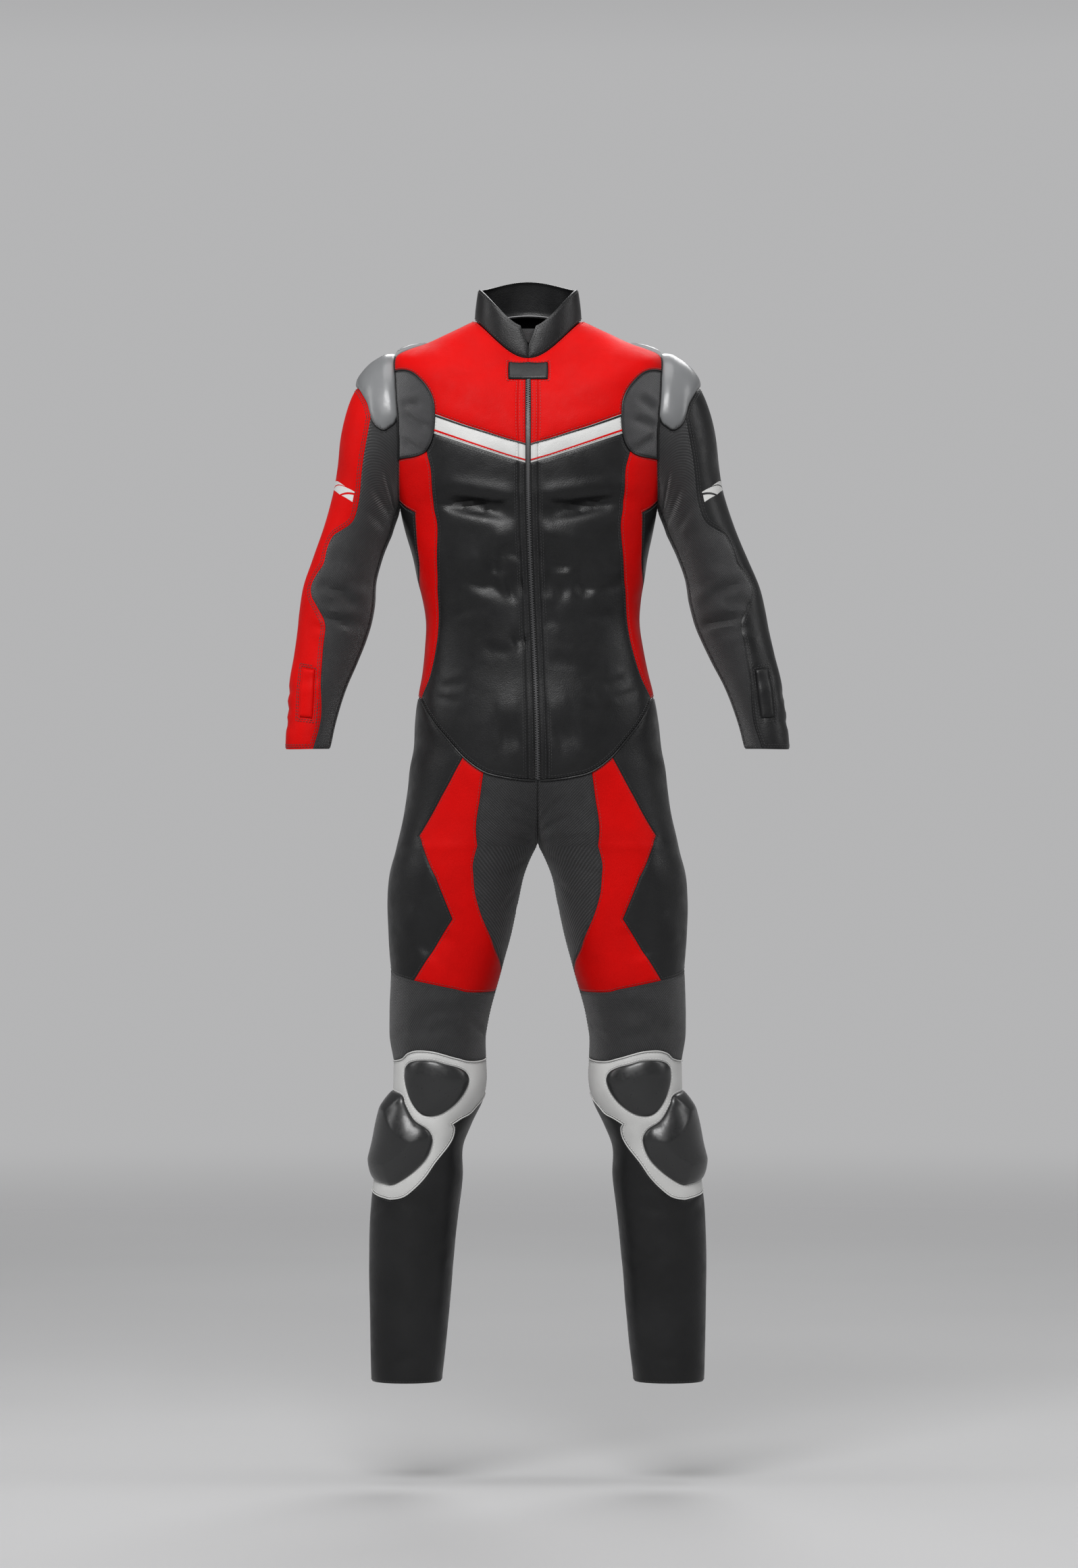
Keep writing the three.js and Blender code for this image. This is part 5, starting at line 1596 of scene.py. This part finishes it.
# Materials.
def new_material(name):
    material = bpy.data.materials.new(name)
    material.use_nodes = True
    tree = material.node_tree
    return material, tree.nodes, tree.links, tree.nodes["Principled BSDF"]


def noise_node(nodes, links, scale, detail=3, roughness=0.55):
    place = nodes.new("ShaderNodeTexCoord")
    texture = nodes.new("ShaderNodeTexNoise")
    texture.inputs["Scale"].default_value = scale
    texture.inputs["Detail"].default_value = detail
    texture.inputs["Roughness"].default_value = roughness
    links.new(place.outputs["Object"], texture.inputs["Vector"])
    return texture.outputs["Fac"]


def spread_colour(nodes, links, factor, dark, light, low=0.3, high=0.7):
    ramp = nodes.new("ShaderNodeValToRGB")
    ramp.color_ramp.elements[0].position = low
    ramp.color_ramp.elements[1].position = high
    ramp.color_ramp.elements[0].color = (*dark, 1)
    ramp.color_ramp.elements[1].color = (*light, 1)
    links.new(factor, ramp.inputs["Fac"])
    return ramp.outputs["Color"]


def spread_value(nodes, links, factor, low, high):
    span = nodes.new("ShaderNodeMapRange")
    span.inputs["From Min"].default_value = 0.3
    span.inputs["From Max"].default_value = 0.7
    span.inputs["To Min"].default_value = low
    span.inputs["To Max"].default_value = high
    links.new(factor, span.inputs["Value"])
    return span.outputs["Result"]


def bump(nodes, links, height, strength, distance, normal=None):
    node = nodes.new("ShaderNodeBump")
    node.inputs["Strength"].default_value = strength
    node.inputs["Distance"].default_value = distance
    links.new(height, node.inputs["Height"])
    if normal is not None:
        links.new(normal, node.inputs["Normal"])
    return node.outputs["Normal"]


def leather(name, colour, roughness, gloss, wear):
    """Full-grain leather: fine pebbles, slow unevenness of colour and gloss, and worn lighter patches."""
    material, nodes, links, shader = new_material(name)
    patches = noise_node(nodes, links, 11, 4)
    dark = tuple(0.86 * c for c in colour)
    light = tuple(min(c * (1 + wear) + 0.004 * wear, 1) for c in colour)
    links.new(spread_colour(nodes, links, patches, dark, light, 0.36, 0.68), shader.inputs["Base Color"])
    smudge = noise_node(nodes, links, 46, 5)
    links.new(
        spread_value(nodes, links, smudge, roughness - 0.06, roughness + 0.09), shader.inputs["Roughness"]
    )
    place = nodes.new("ShaderNodeTexCoord")
    pebbles = nodes.new("ShaderNodeTexVoronoi")
    pebbles.inputs["Scale"].default_value = 640
    links.new(place.outputs["Object"], pebbles.inputs["Vector"])
    grain = bump(nodes, links, pebbles.outputs["Distance"], 0.32, -0.0004)
    wrinkle = bump(nodes, links, noise_node(nodes, links, 130, 4), 0.3, 0.0007, grain)
    links.new(wrinkle, shader.inputs["Normal"])
    shader.inputs["Specular IOR Level"].default_value = gloss
    return material


def stretch_cloth(name, colour, pitch, turn):
    """Ribbed stretch cloth: slanted ribs crossed by a finer thread, matt with a soft sheen."""
    material, nodes, links, shader = new_material(name)
    place = nodes.new("ShaderNodeTexCoord")
    heights = []
    for angle, share in ((turn, 1.0), (turn + math.pi / 2, 0.55)):
        mapping = nodes.new("ShaderNodeMapping")
        mapping.inputs["Rotation"].default_value = (0, 0, angle)
        rib = nodes.new("ShaderNodeTexWave")
        rib.inputs["Scale"].default_value = 0.314 / (pitch * share)
        rib.inputs["Distortion"].default_value = 0
        links.new(place.outputs["UV"], mapping.inputs["Vector"])
        links.new(mapping.outputs["Vector"], rib.inputs["Vector"])
        heights.append(rib.outputs["Fac"])
    weave = nodes.new("ShaderNodeMath")
    weave.operation = "MULTIPLY"
    links.new(heights[0], weave.inputs[0])
    links.new(heights[1], weave.inputs[1])
    dark = tuple(0.35 * c for c in colour)
    light = tuple(1.7 * c for c in colour)
    links.new(
        spread_colour(nodes, links, weave.outputs["Value"], dark, light, 0.05, 0.7),
        shader.inputs["Base Color"],
    )
    fuzz = noise_node(nodes, links, 60, 4)
    links.new(spread_value(nodes, links, fuzz, 0.62, 0.8), shader.inputs["Roughness"])
    links.new(bump(nodes, links, weave.outputs["Value"], 0.8, 0.0008), shader.inputs["Normal"])
    shader.inputs["Sheen Weight"].default_value = 0.25
    shader.inputs["Sheen Roughness"].default_value = 0.4
    return material


def plastic(name, colour, roughness, coat):
    """Moulded plastic: faint flow marks and fine scuffs."""
    material, nodes, links, shader = new_material(name)
    marks = noise_node(nodes, links, 9, 3)
    dark, light = tuple(0.88 * c for c in colour), tuple(1.14 * c for c in colour)
    links.new(spread_colour(nodes, links, marks, dark, light), shader.inputs["Base Color"])
    scuffs = noise_node(nodes, links, 210, 6, 0.7)
    links.new(
        spread_value(nodes, links, scuffs, roughness - 0.05, roughness + 0.1), shader.inputs["Roughness"]
    )
    links.new(bump(nodes, links, noise_node(nodes, links, 900, 2), 0.12, 0.0002), shader.inputs["Normal"])
    shader.inputs["Coat Weight"].default_value = coat
    shader.inputs["Coat Roughness"].default_value = 0.12
    return material


def thread_material(name, colour):
    """Twisted sewing thread."""
    material, nodes, links, shader = new_material(name)
    twist = noise_node(nodes, links, 1400, 2)
    dark, light = tuple(0.7 * c for c in colour), tuple(min(1.25 * c, 1) for c in colour)
    links.new(spread_colour(nodes, links, twist, dark, light), shader.inputs["Base Color"])
    shader.inputs["Roughness"].default_value = 0.65
    shader.inputs["Sheen Weight"].default_value = 0.2
    return material


materials = {}


def material_of(name):
    """The suit's materials, made the first time one is asked for."""
    if not materials:
        colours = bpy.context.scene.suit_colours
        black, red, white = tuple(colours.black), tuple(colours.red), tuple(colours.white)
        materials["black"] = leather("black_leather", black, 0.4, 0.32, 0.4)
        materials["red"] = leather("red_leather", red, 0.55, 0.08, 0.05)
        materials["white"] = leather("white_leather", white, 0.48, 0.3, 0.04)
        materials["ribs"] = stretch_cloth("ribbed_stretch", tuple(colours.stretch), 0.0034, 0.7)
        materials["fine ribs"] = stretch_cloth("fine_stretch", tuple(colours.stretch), 0.0024, -0.5)
        soft = tuple(2.4 * c for c in colours.stretch)
        materials["soft ribs"] = stretch_cloth("soft_stretch", soft, 0.0017, 0.9)
        materials["grey plastic"] = plastic("grey_plastic", tuple(colours.guard), 0.32, 0.15)
        materials["dark plastic"] = plastic("dark_plastic", tuple(0.1 * c for c in colours.guard), 0.3, 0.1)
        materials["zip"] = plastic("zip_teeth", (0.05, 0.05, 0.052), 0.42, 0.0)
        materials["tape"] = stretch_cloth("zip_tape", (0.01, 0.01, 0.011), 0.0012, 0)
        materials["dark thread"] = thread_material("dark_thread", (0.011, 0.011, 0.012))
        materials["red thread"] = thread_material("red_thread", tuple(0.5 * c for c in red))
        materials["light thread"] = thread_material("light_thread", (0.72, 0.72, 0.71))
    return materials[name]


# What each panel is made of, and a finish slot name that nothing reads.
MADE_OF = {
    "collar": ("black", "black_leather"),
    "collar_notch": ("fine ribs", "stretch_fabric"),
    "neck_tab": ("black", "black_leather"),
    "zip": ("tape", "zip"),
    "placket": ("black", "black_leather"),
    "placket_yoke": ("red", "red_leather"),
    "placket_band": ("white", "white_leather"),
    "yoke_front": ("red", "red_leather"),
    "chest_band": ("white", "white_leather"),
    "armhole_panel": ("soft ribs", "stretch_fabric"),
    "front_body": ("black", "black_leather"),
    "side": ("red", "red_leather"),
    "underarm": ("black", "black_leather"),
    "yoke_back": ("black", "black_leather"),
    "back_body": ("black", "black_leather"),
    "seat": ("black", "black_leather"),
    "inner_panel": ("ribs", "stretch_fabric"),
    "thigh_panel": ("red", "red_leather"),
    "thigh_outer": ("black", "black_leather"),
    "thigh_back": ("black", "black_leather"),
    "over_knee": ("fine ribs", "stretch_fabric"),
    "knee_frame": ("white", "white_leather"),
    "shin": ("black", "black_leather"),
    "calf": ("black", "black_leather"),
    "sleeve_front": ("fine ribs", "stretch_fabric"),
    "sleeve_outer": ("black", "black_leather"),
    "sleeve_strip": ("ribs", "stretch_fabric"),
    "cuff_flap": ("black", "black_leather"),
    "shoulder_tip": ("grey plastic", "grey_plastic"),
    "shoulder_cup": ("grey plastic", "grey_plastic"),
    "knee_cup": ("dark plastic", "dark_plastic"),
    "knee_slider": ("dark plastic", "dark_plastic"),
    "slash_1": ("white", "white_leather"),
    "slash_2": ("white", "white_leather"),
    "slash_3": ("white", "white_leather"),
    "stripe_dark": ("black", "black_leather"),
    "stripe_red": ("red", "red_leather"),
}
RED_ON_RIGHT = ("sleeve_outer", "cuff_flap")
HARD = ("shoulder_tip", "shoulder_cup", "knee_cup", "knee_slider")
CLOSING = ("collar", "collar_notch", "neck_tab", "zip", "placket_yoke", "placket_band", "placket")
# The solid that a coloured length of the placket belongs to.
PART_OF = {"placket_yoke": "placket", "placket_band": "placket"}
BODY = (
    "yoke_front", "chest_band", "armhole_panel", "front_body", "side", "underarm", "yoke_back", "back_body",
    "stripe_dark", "stripe_red",
)
LEGS = (
    "seat", "inner_panel", "thigh_panel", "thigh_outer",
    "thigh_back", "over_knee", "knee_frame", "shin", "calf",
)
SLEEVES = ("sleeve_front", "sleeve_outer", "sleeve_strip", "cuff_flap", "slash_1", "slash_2", "slash_3")
FINE_GRID = {
    "collar_notch": 2.5, "neck_tab": 2.5, "zip": 4, "knee_cup": 3, "knee_slider": 3, "shoulder_cup": 4,
}


BOTH_SIDES = ((1, "_left"), (-1, "_right"))
IN_THE_MIDDLE = ((1, ""),)


def sides_of(panel):
    """The sides on which a panel lies, with the ending of its name there."""
    return IN_THE_MIDDLE if panel in SINGLE else BOTH_SIDES


def build_panels(names):
    for panel in names:
        for side, ending in sides_of(panel):
            look, slot = MADE_OF[panel]
            if side < 0 and panel in RED_ON_RIGHT:
                look, slot = "red", "red_leather"
            kind = "_shell" if panel in HARD else "_cloth"
            grid = FINE_GRID.get(panel, bpy.context.scene.suit_sizes.grid / MM)
            piece, flat, area = shell(panel + ending + kind, panel, side, material_of(look), grid)
            node = PART_OF.get(panel, panel) + ending
            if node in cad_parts:
                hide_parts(node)
            if panel not in HARD:
                declare_sheet(flat, area)


# Sewing, piping and zip teeth.
CORNERS = np.array([(x, y, z) for x in (-0.5, 0.5) for y in (-0.5, 0.5) for z in (-0.5, 0.5)])
SIDES_OF_BLOCK = np.array(
    [(0, 1, 3, 2), (4, 6, 7, 5), (0, 4, 5, 1), (2, 3, 7, 6), (0, 2, 6, 4), (1, 5, 7, 3)]
)


def blocks(places, along, out, size):
    """Points and faces of many small blocks: size is how long, wide and high each one is."""
    across = unit(np.cross(out, along))
    along = np.cross(across, out)
    reach = CORNERS * size
    points = places[:, None] + (
        reach[:, :1] * along[:, None] + reach[:, 1:2] * across[:, None] + reach[:, 2:] * out[:, None]
    )
    faces = SIDES_OF_BLOCK + 8 * np.arange(len(places))[:, None, None]
    return points.reshape(-1, 3), faces.reshape(-1, 4)


def stitch_row(panel, side, row, pitch):
    """Places and directions of the stitches that follow a panel's outline at a distance from it."""
    flat = flat_panel(panel, FINE_GRID.get(panel, bpy.context.scene.suit_sizes.grid / MM))
    places, along, outs = [], [], []
    for i, loop in enumerate(flat.loops):
        line = stand_back(flat.surface, loop, row if i == 0 else -row)
        kept = flat.within(line, 0.9 * row)
        line, kept = np.concatenate([line, line[:1]]), np.concatenate([kept, kept[:1]])
        steps = np.linalg.norm(np.diff(SURFACES[flat.surface](line[:, 0], line[:, 1]), axis=0), axis=1)
        length = np.concatenate([[0], np.cumsum(steps)])
        at = np.arange(pitch / 2, length[-1], pitch)
        at = at[np.interp(at, length, kept.astype(float)) > 0.99]
        ends = []
        for reach in (-0.6, 0.6):
            p = np.interp(at + reach, length, line[:, 0])
            q = np.interp(at + reach, length, line[:, 1])
            rise = PUFF * (1 - math.exp(-((row / PUFF_REACH) ** 2)))
            sink = rise - GROOVE * math.exp(-((row / GROOVE_WIDTH) ** 2))
            point, out = skin(flat.surface, p, q, side, sink + 0.12)
            ends.append(point)
        places.append((ends[0] + ends[1]) / 2)
        along.append(unit(ends[1] - ends[0]))
        outs.append(out)
    return np.concatenate(places), np.concatenate(along), np.concatenate(outs)


def build_stitches(panel, rows, look):
    sizes = bpy.context.scene.suit_sizes
    for side, ending in sides_of(panel):
        points, faces, first = [], [], 0
        for row in rows:
            places, along, out = stitch_row(panel, side, row, sizes.stitch / MM)
            block, block_faces = blocks(places, along, out, (0.62 * sizes.stitch / MM, 0.7, 0.7))
            points.append(block)
            faces.append(block_faces + first)
            first += len(block)
        points, faces = np.concatenate(points), np.concatenate(faces)
        if side < 0:
            points, faces = points * (-1, 1, 1), faces[:, ::-1]
        make_object(panel + ending + "_stitches", points, faces, material_of(look), smooth=False)


def build_piping(name, surface, line, radius, look, lift=0.1, sides=BOTH_SIDES):
    """A round welt along a seam, on both sides of the suit or once along its middle."""
    for side, ending in sides:
        middle, out = skin(surface, line[:, 0], line[:, 1], side, lift)
        along = unit(np.gradient(middle, axis=0))
        across = unit(np.cross(out, along))
        ring = np.arange(8) * TAU / 8
        points = middle[:, None] + radius * (
            np.cos(ring)[:, None] * across[:, None] + np.sin(ring)[:, None] * out[:, None]
        )
        n = len(middle)
        start = np.arange(n - 1)[:, None] * 8 + np.arange(8)
        after = np.arange(n - 1)[:, None] * 8 + (np.arange(8) + 1) % 8
        faces = np.stack([start, after, after + 8, start + 8], -1).reshape(-1, 4)
        points = points.reshape(-1, 3)
        if side < 0:
            points = points * (-1, 1, 1)
        else:
            faces = faces[:, ::-1]
        caps = [list(range(8)), list(range(8 * n - 8, 8 * n))[::-1]]
        if side < 0:
            caps = [cap[::-1] for cap in caps]
        make_object(name + ending, points, faces.tolist() + caps, material_of(look))


def build_teeth():
    """Moulded zip teeth, which meet in turn from the two sides of the tape."""
    top, foot = seams["zip"][1]["top"], seams["zip"][1]["foot"]
    line = seams["zip"][0][min(top, foot) : max(top, foot) + 1]
    levels = np.arange(line[:, 1].min() + 2, line[:, 1].max() - 1, 1.6)
    middle, out = skin("body", np.zeros(len(levels)), levels, 1, 0.3)
    along = unit(np.gradient(middle, axis=0))
    across = np.cross(out, along)
    turn = np.where(np.arange(len(levels)) % 2, 0.75, -0.75)[:, None]
    points, faces = blocks(middle + turn * across, along, out, (1.2, 3.8, 1.7))
    make_object("zip_teeth", points, faces, material_of("zip"), smooth=False)


STITCHED = {
    "collar": ((3.0,), "dark thread"),
    "neck_tab": ((2.4,), "dark thread"),
    "placket_yoke": ((2.2,), "red thread"),
    "placket": ((2.2,), "dark thread"),
    "yoke_front": ((2.6,), "red thread"),
    "chest_band": ((2.4,), "light thread"),
    "armhole_panel": ((2.6,), "dark thread"),
    "front_body": ((2.6, 5.4), "dark thread"),
    "side": ((2.6,), "red thread"),
    "underarm": ((2.6,), "dark thread"),
    "yoke_back": ((2.6, 5.4), "dark thread"),
    "back_body": ((2.6, 5.4), "dark thread"),
    "seat": ((2.6, 5.4), "dark thread"),
    "inner_panel": ((2.6,), "dark thread"),
    "thigh_panel": ((2.6,), "red thread"),
    "thigh_outer": ((2.6,), "dark thread"),
    "thigh_back": ((2.6, 5.4), "dark thread"),
    "over_knee": ((2.6,), "dark thread"),
    "knee_frame": ((2.4,), "light thread"),
    "shin": ((2.6,), "dark thread"),
    "calf": ((2.6,), "dark thread"),
    "sleeve_front": ((2.6,), "dark thread"),
    "sleeve_outer": ((2.6, 5.4), "dark thread"),
    "sleeve_strip": ((2.6,), "dark thread"),
    "cuff_flap": ((2.4,), "dark thread"),
}


def build_trim():
    for panel, (rows, look) in STITCHED.items():
        build_stitches(panel, rows, look)
    waist = run("waist", "side", "zip")
    build_piping("waist_welt", "body", waist, 1.3, "black", 0.3)
    build_piping("armhole_welt", "body", run("armhole panel", "top", "foot"), 1.1, "black")
    build_piping(
        "shoulder_welt", "body", run("armhole", "tip", "panel foot"), 1.5, "black", 0.5
    )
    build_piping(
        "frame_welt", "body", run("knee frame top", "inseam", "side"), 0.9, "white", 0.5
    )
    foot = run("knee frame foot", "inseam", "side")
    build_piping("frame_foot_welt", "body", foot, 0.9, "white", 0.5)
    build_piping("cup_welt", "sleeve", run("cup edge", "armhole", "seam"), 1.1, "black", 0.3)
    # A tape behind the middle seam, which closes the gap between the two halves.
    for end in ("front", "back"):
        tape = run("centre " + end, "waist", "crotch")
        build_piping("seam_tape_" + end, "body", tape, 0.9, "black", -1.2, IN_THE_MIDDLE)
    build_teeth()


# The stage, in metres.
FLOOR = -1.561
FLOOR_REACH = 9
FLOOR_FADE = 2.2  # where the floor starts to fade into the room
ROOM_PALE = (0.46, 0.46, 0.465, 1)
ROOM_DIM = (0.13, 0.13, 0.132, 1)
CAMERA_HEIGHT = -0.6215
CAMERA_SIDE = 0.0144
CAMERA_AWAY = 8.06
SENSOR = 36
FRAME_HEIGHT = 2.089  # what the photograph spans, from its upper to its lower edge, at FRAME_AWAY
FRAME_AWAY = 8.0  # from the camera to a plane a little in front of the suit's middle
# Name, place, aim, width, height and power of each light.
LIGHTS = (
    ("front_light", (-0.8, -4.4, 3.2), (0, 0, -0.7), 3.2, 1.8, 300),
    ("left_light", (-2.6, -0.4, 0.8), (0, 0, -0.6), 0.8, 1.8, 16),
    ("right_light", (2.6, -0.4, 0.8), (0, 0, -0.6), 0.8, 1.8, 16),
    ("back_light", (0.8, 4.4, 3.0), (0, 0, -0.7), 3.6, 2.2, 150),
    ("top_light", (0, -0.4, 2.6), (0, 0, -0.5), 2.6, 1.6, 40),
)


def build_floor():
    """A wide pale floor that fades into the pale room, so that no edge shows from any side."""
    ring = np.arange(96) * TAU / 96
    points = [(FLOOR_REACH * math.cos(a), FLOOR_REACH * math.sin(a), FLOOR) for a in ring]
    mesh = bpy.data.meshes.new("floor")
    mesh.from_pydata(points, [], [list(range(len(points)))])
    material, nodes, links, shader = new_material("floor_paint")
    shade = noise_node(nodes, links, 0.6, 3)
    links.new(
        spread_colour(nodes, links, shade, (0.42, 0.42, 0.424), (0.45, 0.45, 0.454)),
        shader.inputs["Base Color"],
    )
    shader.inputs["Roughness"].default_value = 0.7
    place = nodes.new("ShaderNodeTexCoord")
    away = nodes.new("ShaderNodeVectorMath")
    away.operation = "LENGTH"
    links.new(place.outputs["Object"], away.inputs[0])
    fade = nodes.new("ShaderNodeMapRange")
    fade.interpolation_type = "SMOOTHSTEP"
    fade.inputs["From Min"].default_value = FLOOR_FADE
    fade.inputs["From Max"].default_value = FLOOR_REACH - 1
    links.new(away.outputs["Value"], fade.inputs["Value"])
    clear = nodes.new("ShaderNodeBsdfTransparent")
    mix = nodes.new("ShaderNodeMixShader")
    links.new(fade.outputs["Result"], mix.inputs["Fac"])
    links.new(shader.outputs["BSDF"], mix.inputs[1])
    links.new(clear.outputs["BSDF"], mix.inputs[2])
    links.new(mix.outputs["Shader"], nodes["Material Output"].inputs["Surface"])
    mesh.materials.append(material)
    made = bpy.data.objects.new("floor", mesh)
    bpy.context.collection.objects.link(made)


def build_room():
    """A plain room: pale at eye level all round, dimmer above and below, so that the light stays soft."""
    world = bpy.data.worlds.new("soft_room")
    world.use_nodes = True
    nodes, links = world.node_tree.nodes, world.node_tree.links
    way = nodes.new("ShaderNodeTexCoord")
    parts = nodes.new("ShaderNodeSeparateXYZ")
    links.new(way.outputs["Generated"], parts.inputs["Vector"])
    height = nodes.new("ShaderNodeMath")
    height.operation = "ABSOLUTE"
    links.new(parts.outputs["Z"], height.inputs[0])
    ramp = nodes.new("ShaderNodeValToRGB")
    ramp.color_ramp.elements[0].position = 0.12
    ramp.color_ramp.elements[1].position = 0.21
    ramp.color_ramp.elements[0].color = ROOM_PALE
    ramp.color_ramp.elements[1].color = ROOM_DIM
    links.new(height.outputs["Value"], ramp.inputs["Fac"])
    links.new(ramp.outputs["Color"], nodes["Background"].inputs["Color"])
    bpy.context.scene.world = world


def build_light(name, place, target, width, height, power):
    data = bpy.data.lights.new(name, "AREA")
    data.shape = "RECTANGLE"
    data.size, data.size_y, data.energy = width, height, power
    made = bpy.data.objects.new(name, data)
    made.location = place
    made.rotation_euler = (Vector(target) - Vector(place)).to_track_quat("-Z", "Y").to_euler()
    bpy.context.collection.objects.link(made)


def build_stage():
    scene = bpy.context.scene
    build_floor()
    build_room()
    for light in LIGHTS:
        build_light(*light)
    scene.view_settings.view_transform = "Standard"
    lens = bpy.data.cameras.new("camera")
    lens.sensor_fit = "VERTICAL"
    lens.sensor_height = SENSOR
    lens.lens = SENSOR * FRAME_AWAY / FRAME_HEIGHT
    lens.clip_end = 100
    camera = bpy.data.objects.new("camera", lens)
    camera.location = (CAMERA_SIDE, -CAMERA_AWAY, CAMERA_HEIGHT)
    camera.rotation_euler = (math.pi / 2, 0, 0)
    bpy.context.collection.objects.link(camera)
    scene.camera = camera


class SuitSizes(bpy.types.PropertyGroup):
    """Sizes of the suit's cloth and sewing"""

    wall: bpy.props.FloatProperty(
        name="Leather", description="Thickness of a panel",
        default=0.0024, min=0.001, max=0.004, unit="LENGTH"
    )
    grid: bpy.props.FloatProperty(
        name="Grid", description="Distance between the points of a panel",
        default=0.005, min=0.003, unit="LENGTH"
    )
    stitch: bpy.props.FloatProperty(
        name="Stitch", description="Length of one stitch with its gap",
        default=0.0042, min=0.002, unit="LENGTH"
    )
    creases: bpy.props.FloatProperty(
        name="Creases", description="Depth of the small creases, as a share", default=1.0, min=0, max=2
    )


class SuitColours(bpy.types.PropertyGroup):
    """Colours of the suit"""

    black: bpy.props.FloatVectorProperty(
        name="Black leather", description="Main leather", subtype="COLOR", default=(0.006, 0.0061, 0.0065)
    )
    red: bpy.props.FloatVectorProperty(
        name="Red leather", description="Yoke, sides and thighs",
        subtype="COLOR", default=(0.56, 0.0012, 0.0008)
    )
    white: bpy.props.FloatVectorProperty(
        name="White leather", description="Chest band and knee frames",
        subtype="COLOR", default=(0.6, 0.6, 0.59)
    )
    stretch: bpy.props.FloatVectorProperty(
        name="Stretch cloth", description="Ribbed stretch panels",
        subtype="COLOR", default=(0.018, 0.018, 0.0193)
    )
    guard: bpy.props.FloatVectorProperty(
        name="Guards", description="Hard shoulder cups", subtype="COLOR", default=(0.16, 0.164, 0.168)
    )


class SUIT_OT_closing(bpy.types.Operator):
    """Build the collar, neck tab, zip and plackets"""

    bl_idname = "suit.closing"
    bl_label = "Collar and zip"

    def execute(self, context):
        build_panels(CLOSING)
        return {"FINISHED"}


class SUIT_OT_body(bpy.types.Operator):
    """Build the panels of the body"""

    bl_idname = "suit.body"
    bl_label = "Body"

    def execute(self, context):
        build_panels(BODY)
        return {"FINISHED"}


class SUIT_OT_legs(bpy.types.Operator):
    """Build the panels of the seat and legs"""

    bl_idname = "suit.legs"
    bl_label = "Legs"

    def execute(self, context):
        build_panels(LEGS)
        return {"FINISHED"}


class SUIT_OT_sleeves(bpy.types.Operator):
    """Build the panels of the sleeves"""

    bl_idname = "suit.sleeves"
    bl_label = "Sleeves"

    def execute(self, context):
        build_panels(SLEEVES)
        return {"FINISHED"}


class SUIT_OT_guards(bpy.types.Operator):
    """Build the hard shoulder and knee cups and the knee sliders"""

    bl_idname = "suit.guards"
    bl_label = "Guards"

    def execute(self, context):
        build_panels(HARD)
        return {"FINISHED"}


class SUIT_OT_trim(bpy.types.Operator):
    """Build the sewing, the welts and the zip teeth"""

    bl_idname = "suit.trim"
    bl_label = "Sewing and zip teeth"

    def execute(self, context):
        build_trim()
        return {"FINISHED"}


class SUIT_OT_stage(bpy.types.Operator):
    """Build the floor, the lights and the camera"""

    bl_idname = "suit.stage"
    bl_label = "Stage"

    def execute(self, context):
        build_stage()
        return {"FINISHED"}


OPERATORS = (
    SUIT_OT_closing, SUIT_OT_body, SUIT_OT_legs, SUIT_OT_sleeves, SUIT_OT_guards, SUIT_OT_trim, SUIT_OT_stage,
)


class SUIT_PT_panel(bpy.types.Panel):
    """Sizes, colours and build steps of the suit"""

    bl_label = "Race suit"
    bl_idname = "SUIT_PT_panel"
    bl_space_type = "VIEW_3D"
    bl_region_type = "UI"
    bl_category = "Race suit"

    def draw(self, context):
        for group in (context.scene.suit_sizes, context.scene.suit_colours):
            for name in group.__annotations__:
                self.layout.prop(group, name)
        for operator in OPERATORS:
            self.layout.operator(operator.bl_idname)


def register():
    for group in (SuitSizes, SuitColours, *OPERATORS, SUIT_PT_panel):
        bpy.utils.register_class(group)
    bpy.types.Scene.suit_sizes = bpy.props.PointerProperty(type=SuitSizes)
    bpy.types.Scene.suit_colours = bpy.props.PointerProperty(type=SuitColours)


def unregister():
    del bpy.types.Scene.suit_colours
    del bpy.types.Scene.suit_sizes
    for group in (SUIT_PT_panel, *reversed(OPERATORS), SuitColours, SuitSizes):
        bpy.utils.unregister_class(group)


def main():
    register()
    bpy.ops.suit.closing()
    bpy.ops.suit.body()
    bpy.ops.suit.legs()
    bpy.ops.suit.sleeves()
    bpy.ops.suit.guards()
    bpy.ops.suit.trim()
    bpy.ops.suit.stage()


if __name__ == "__main__":
    main()
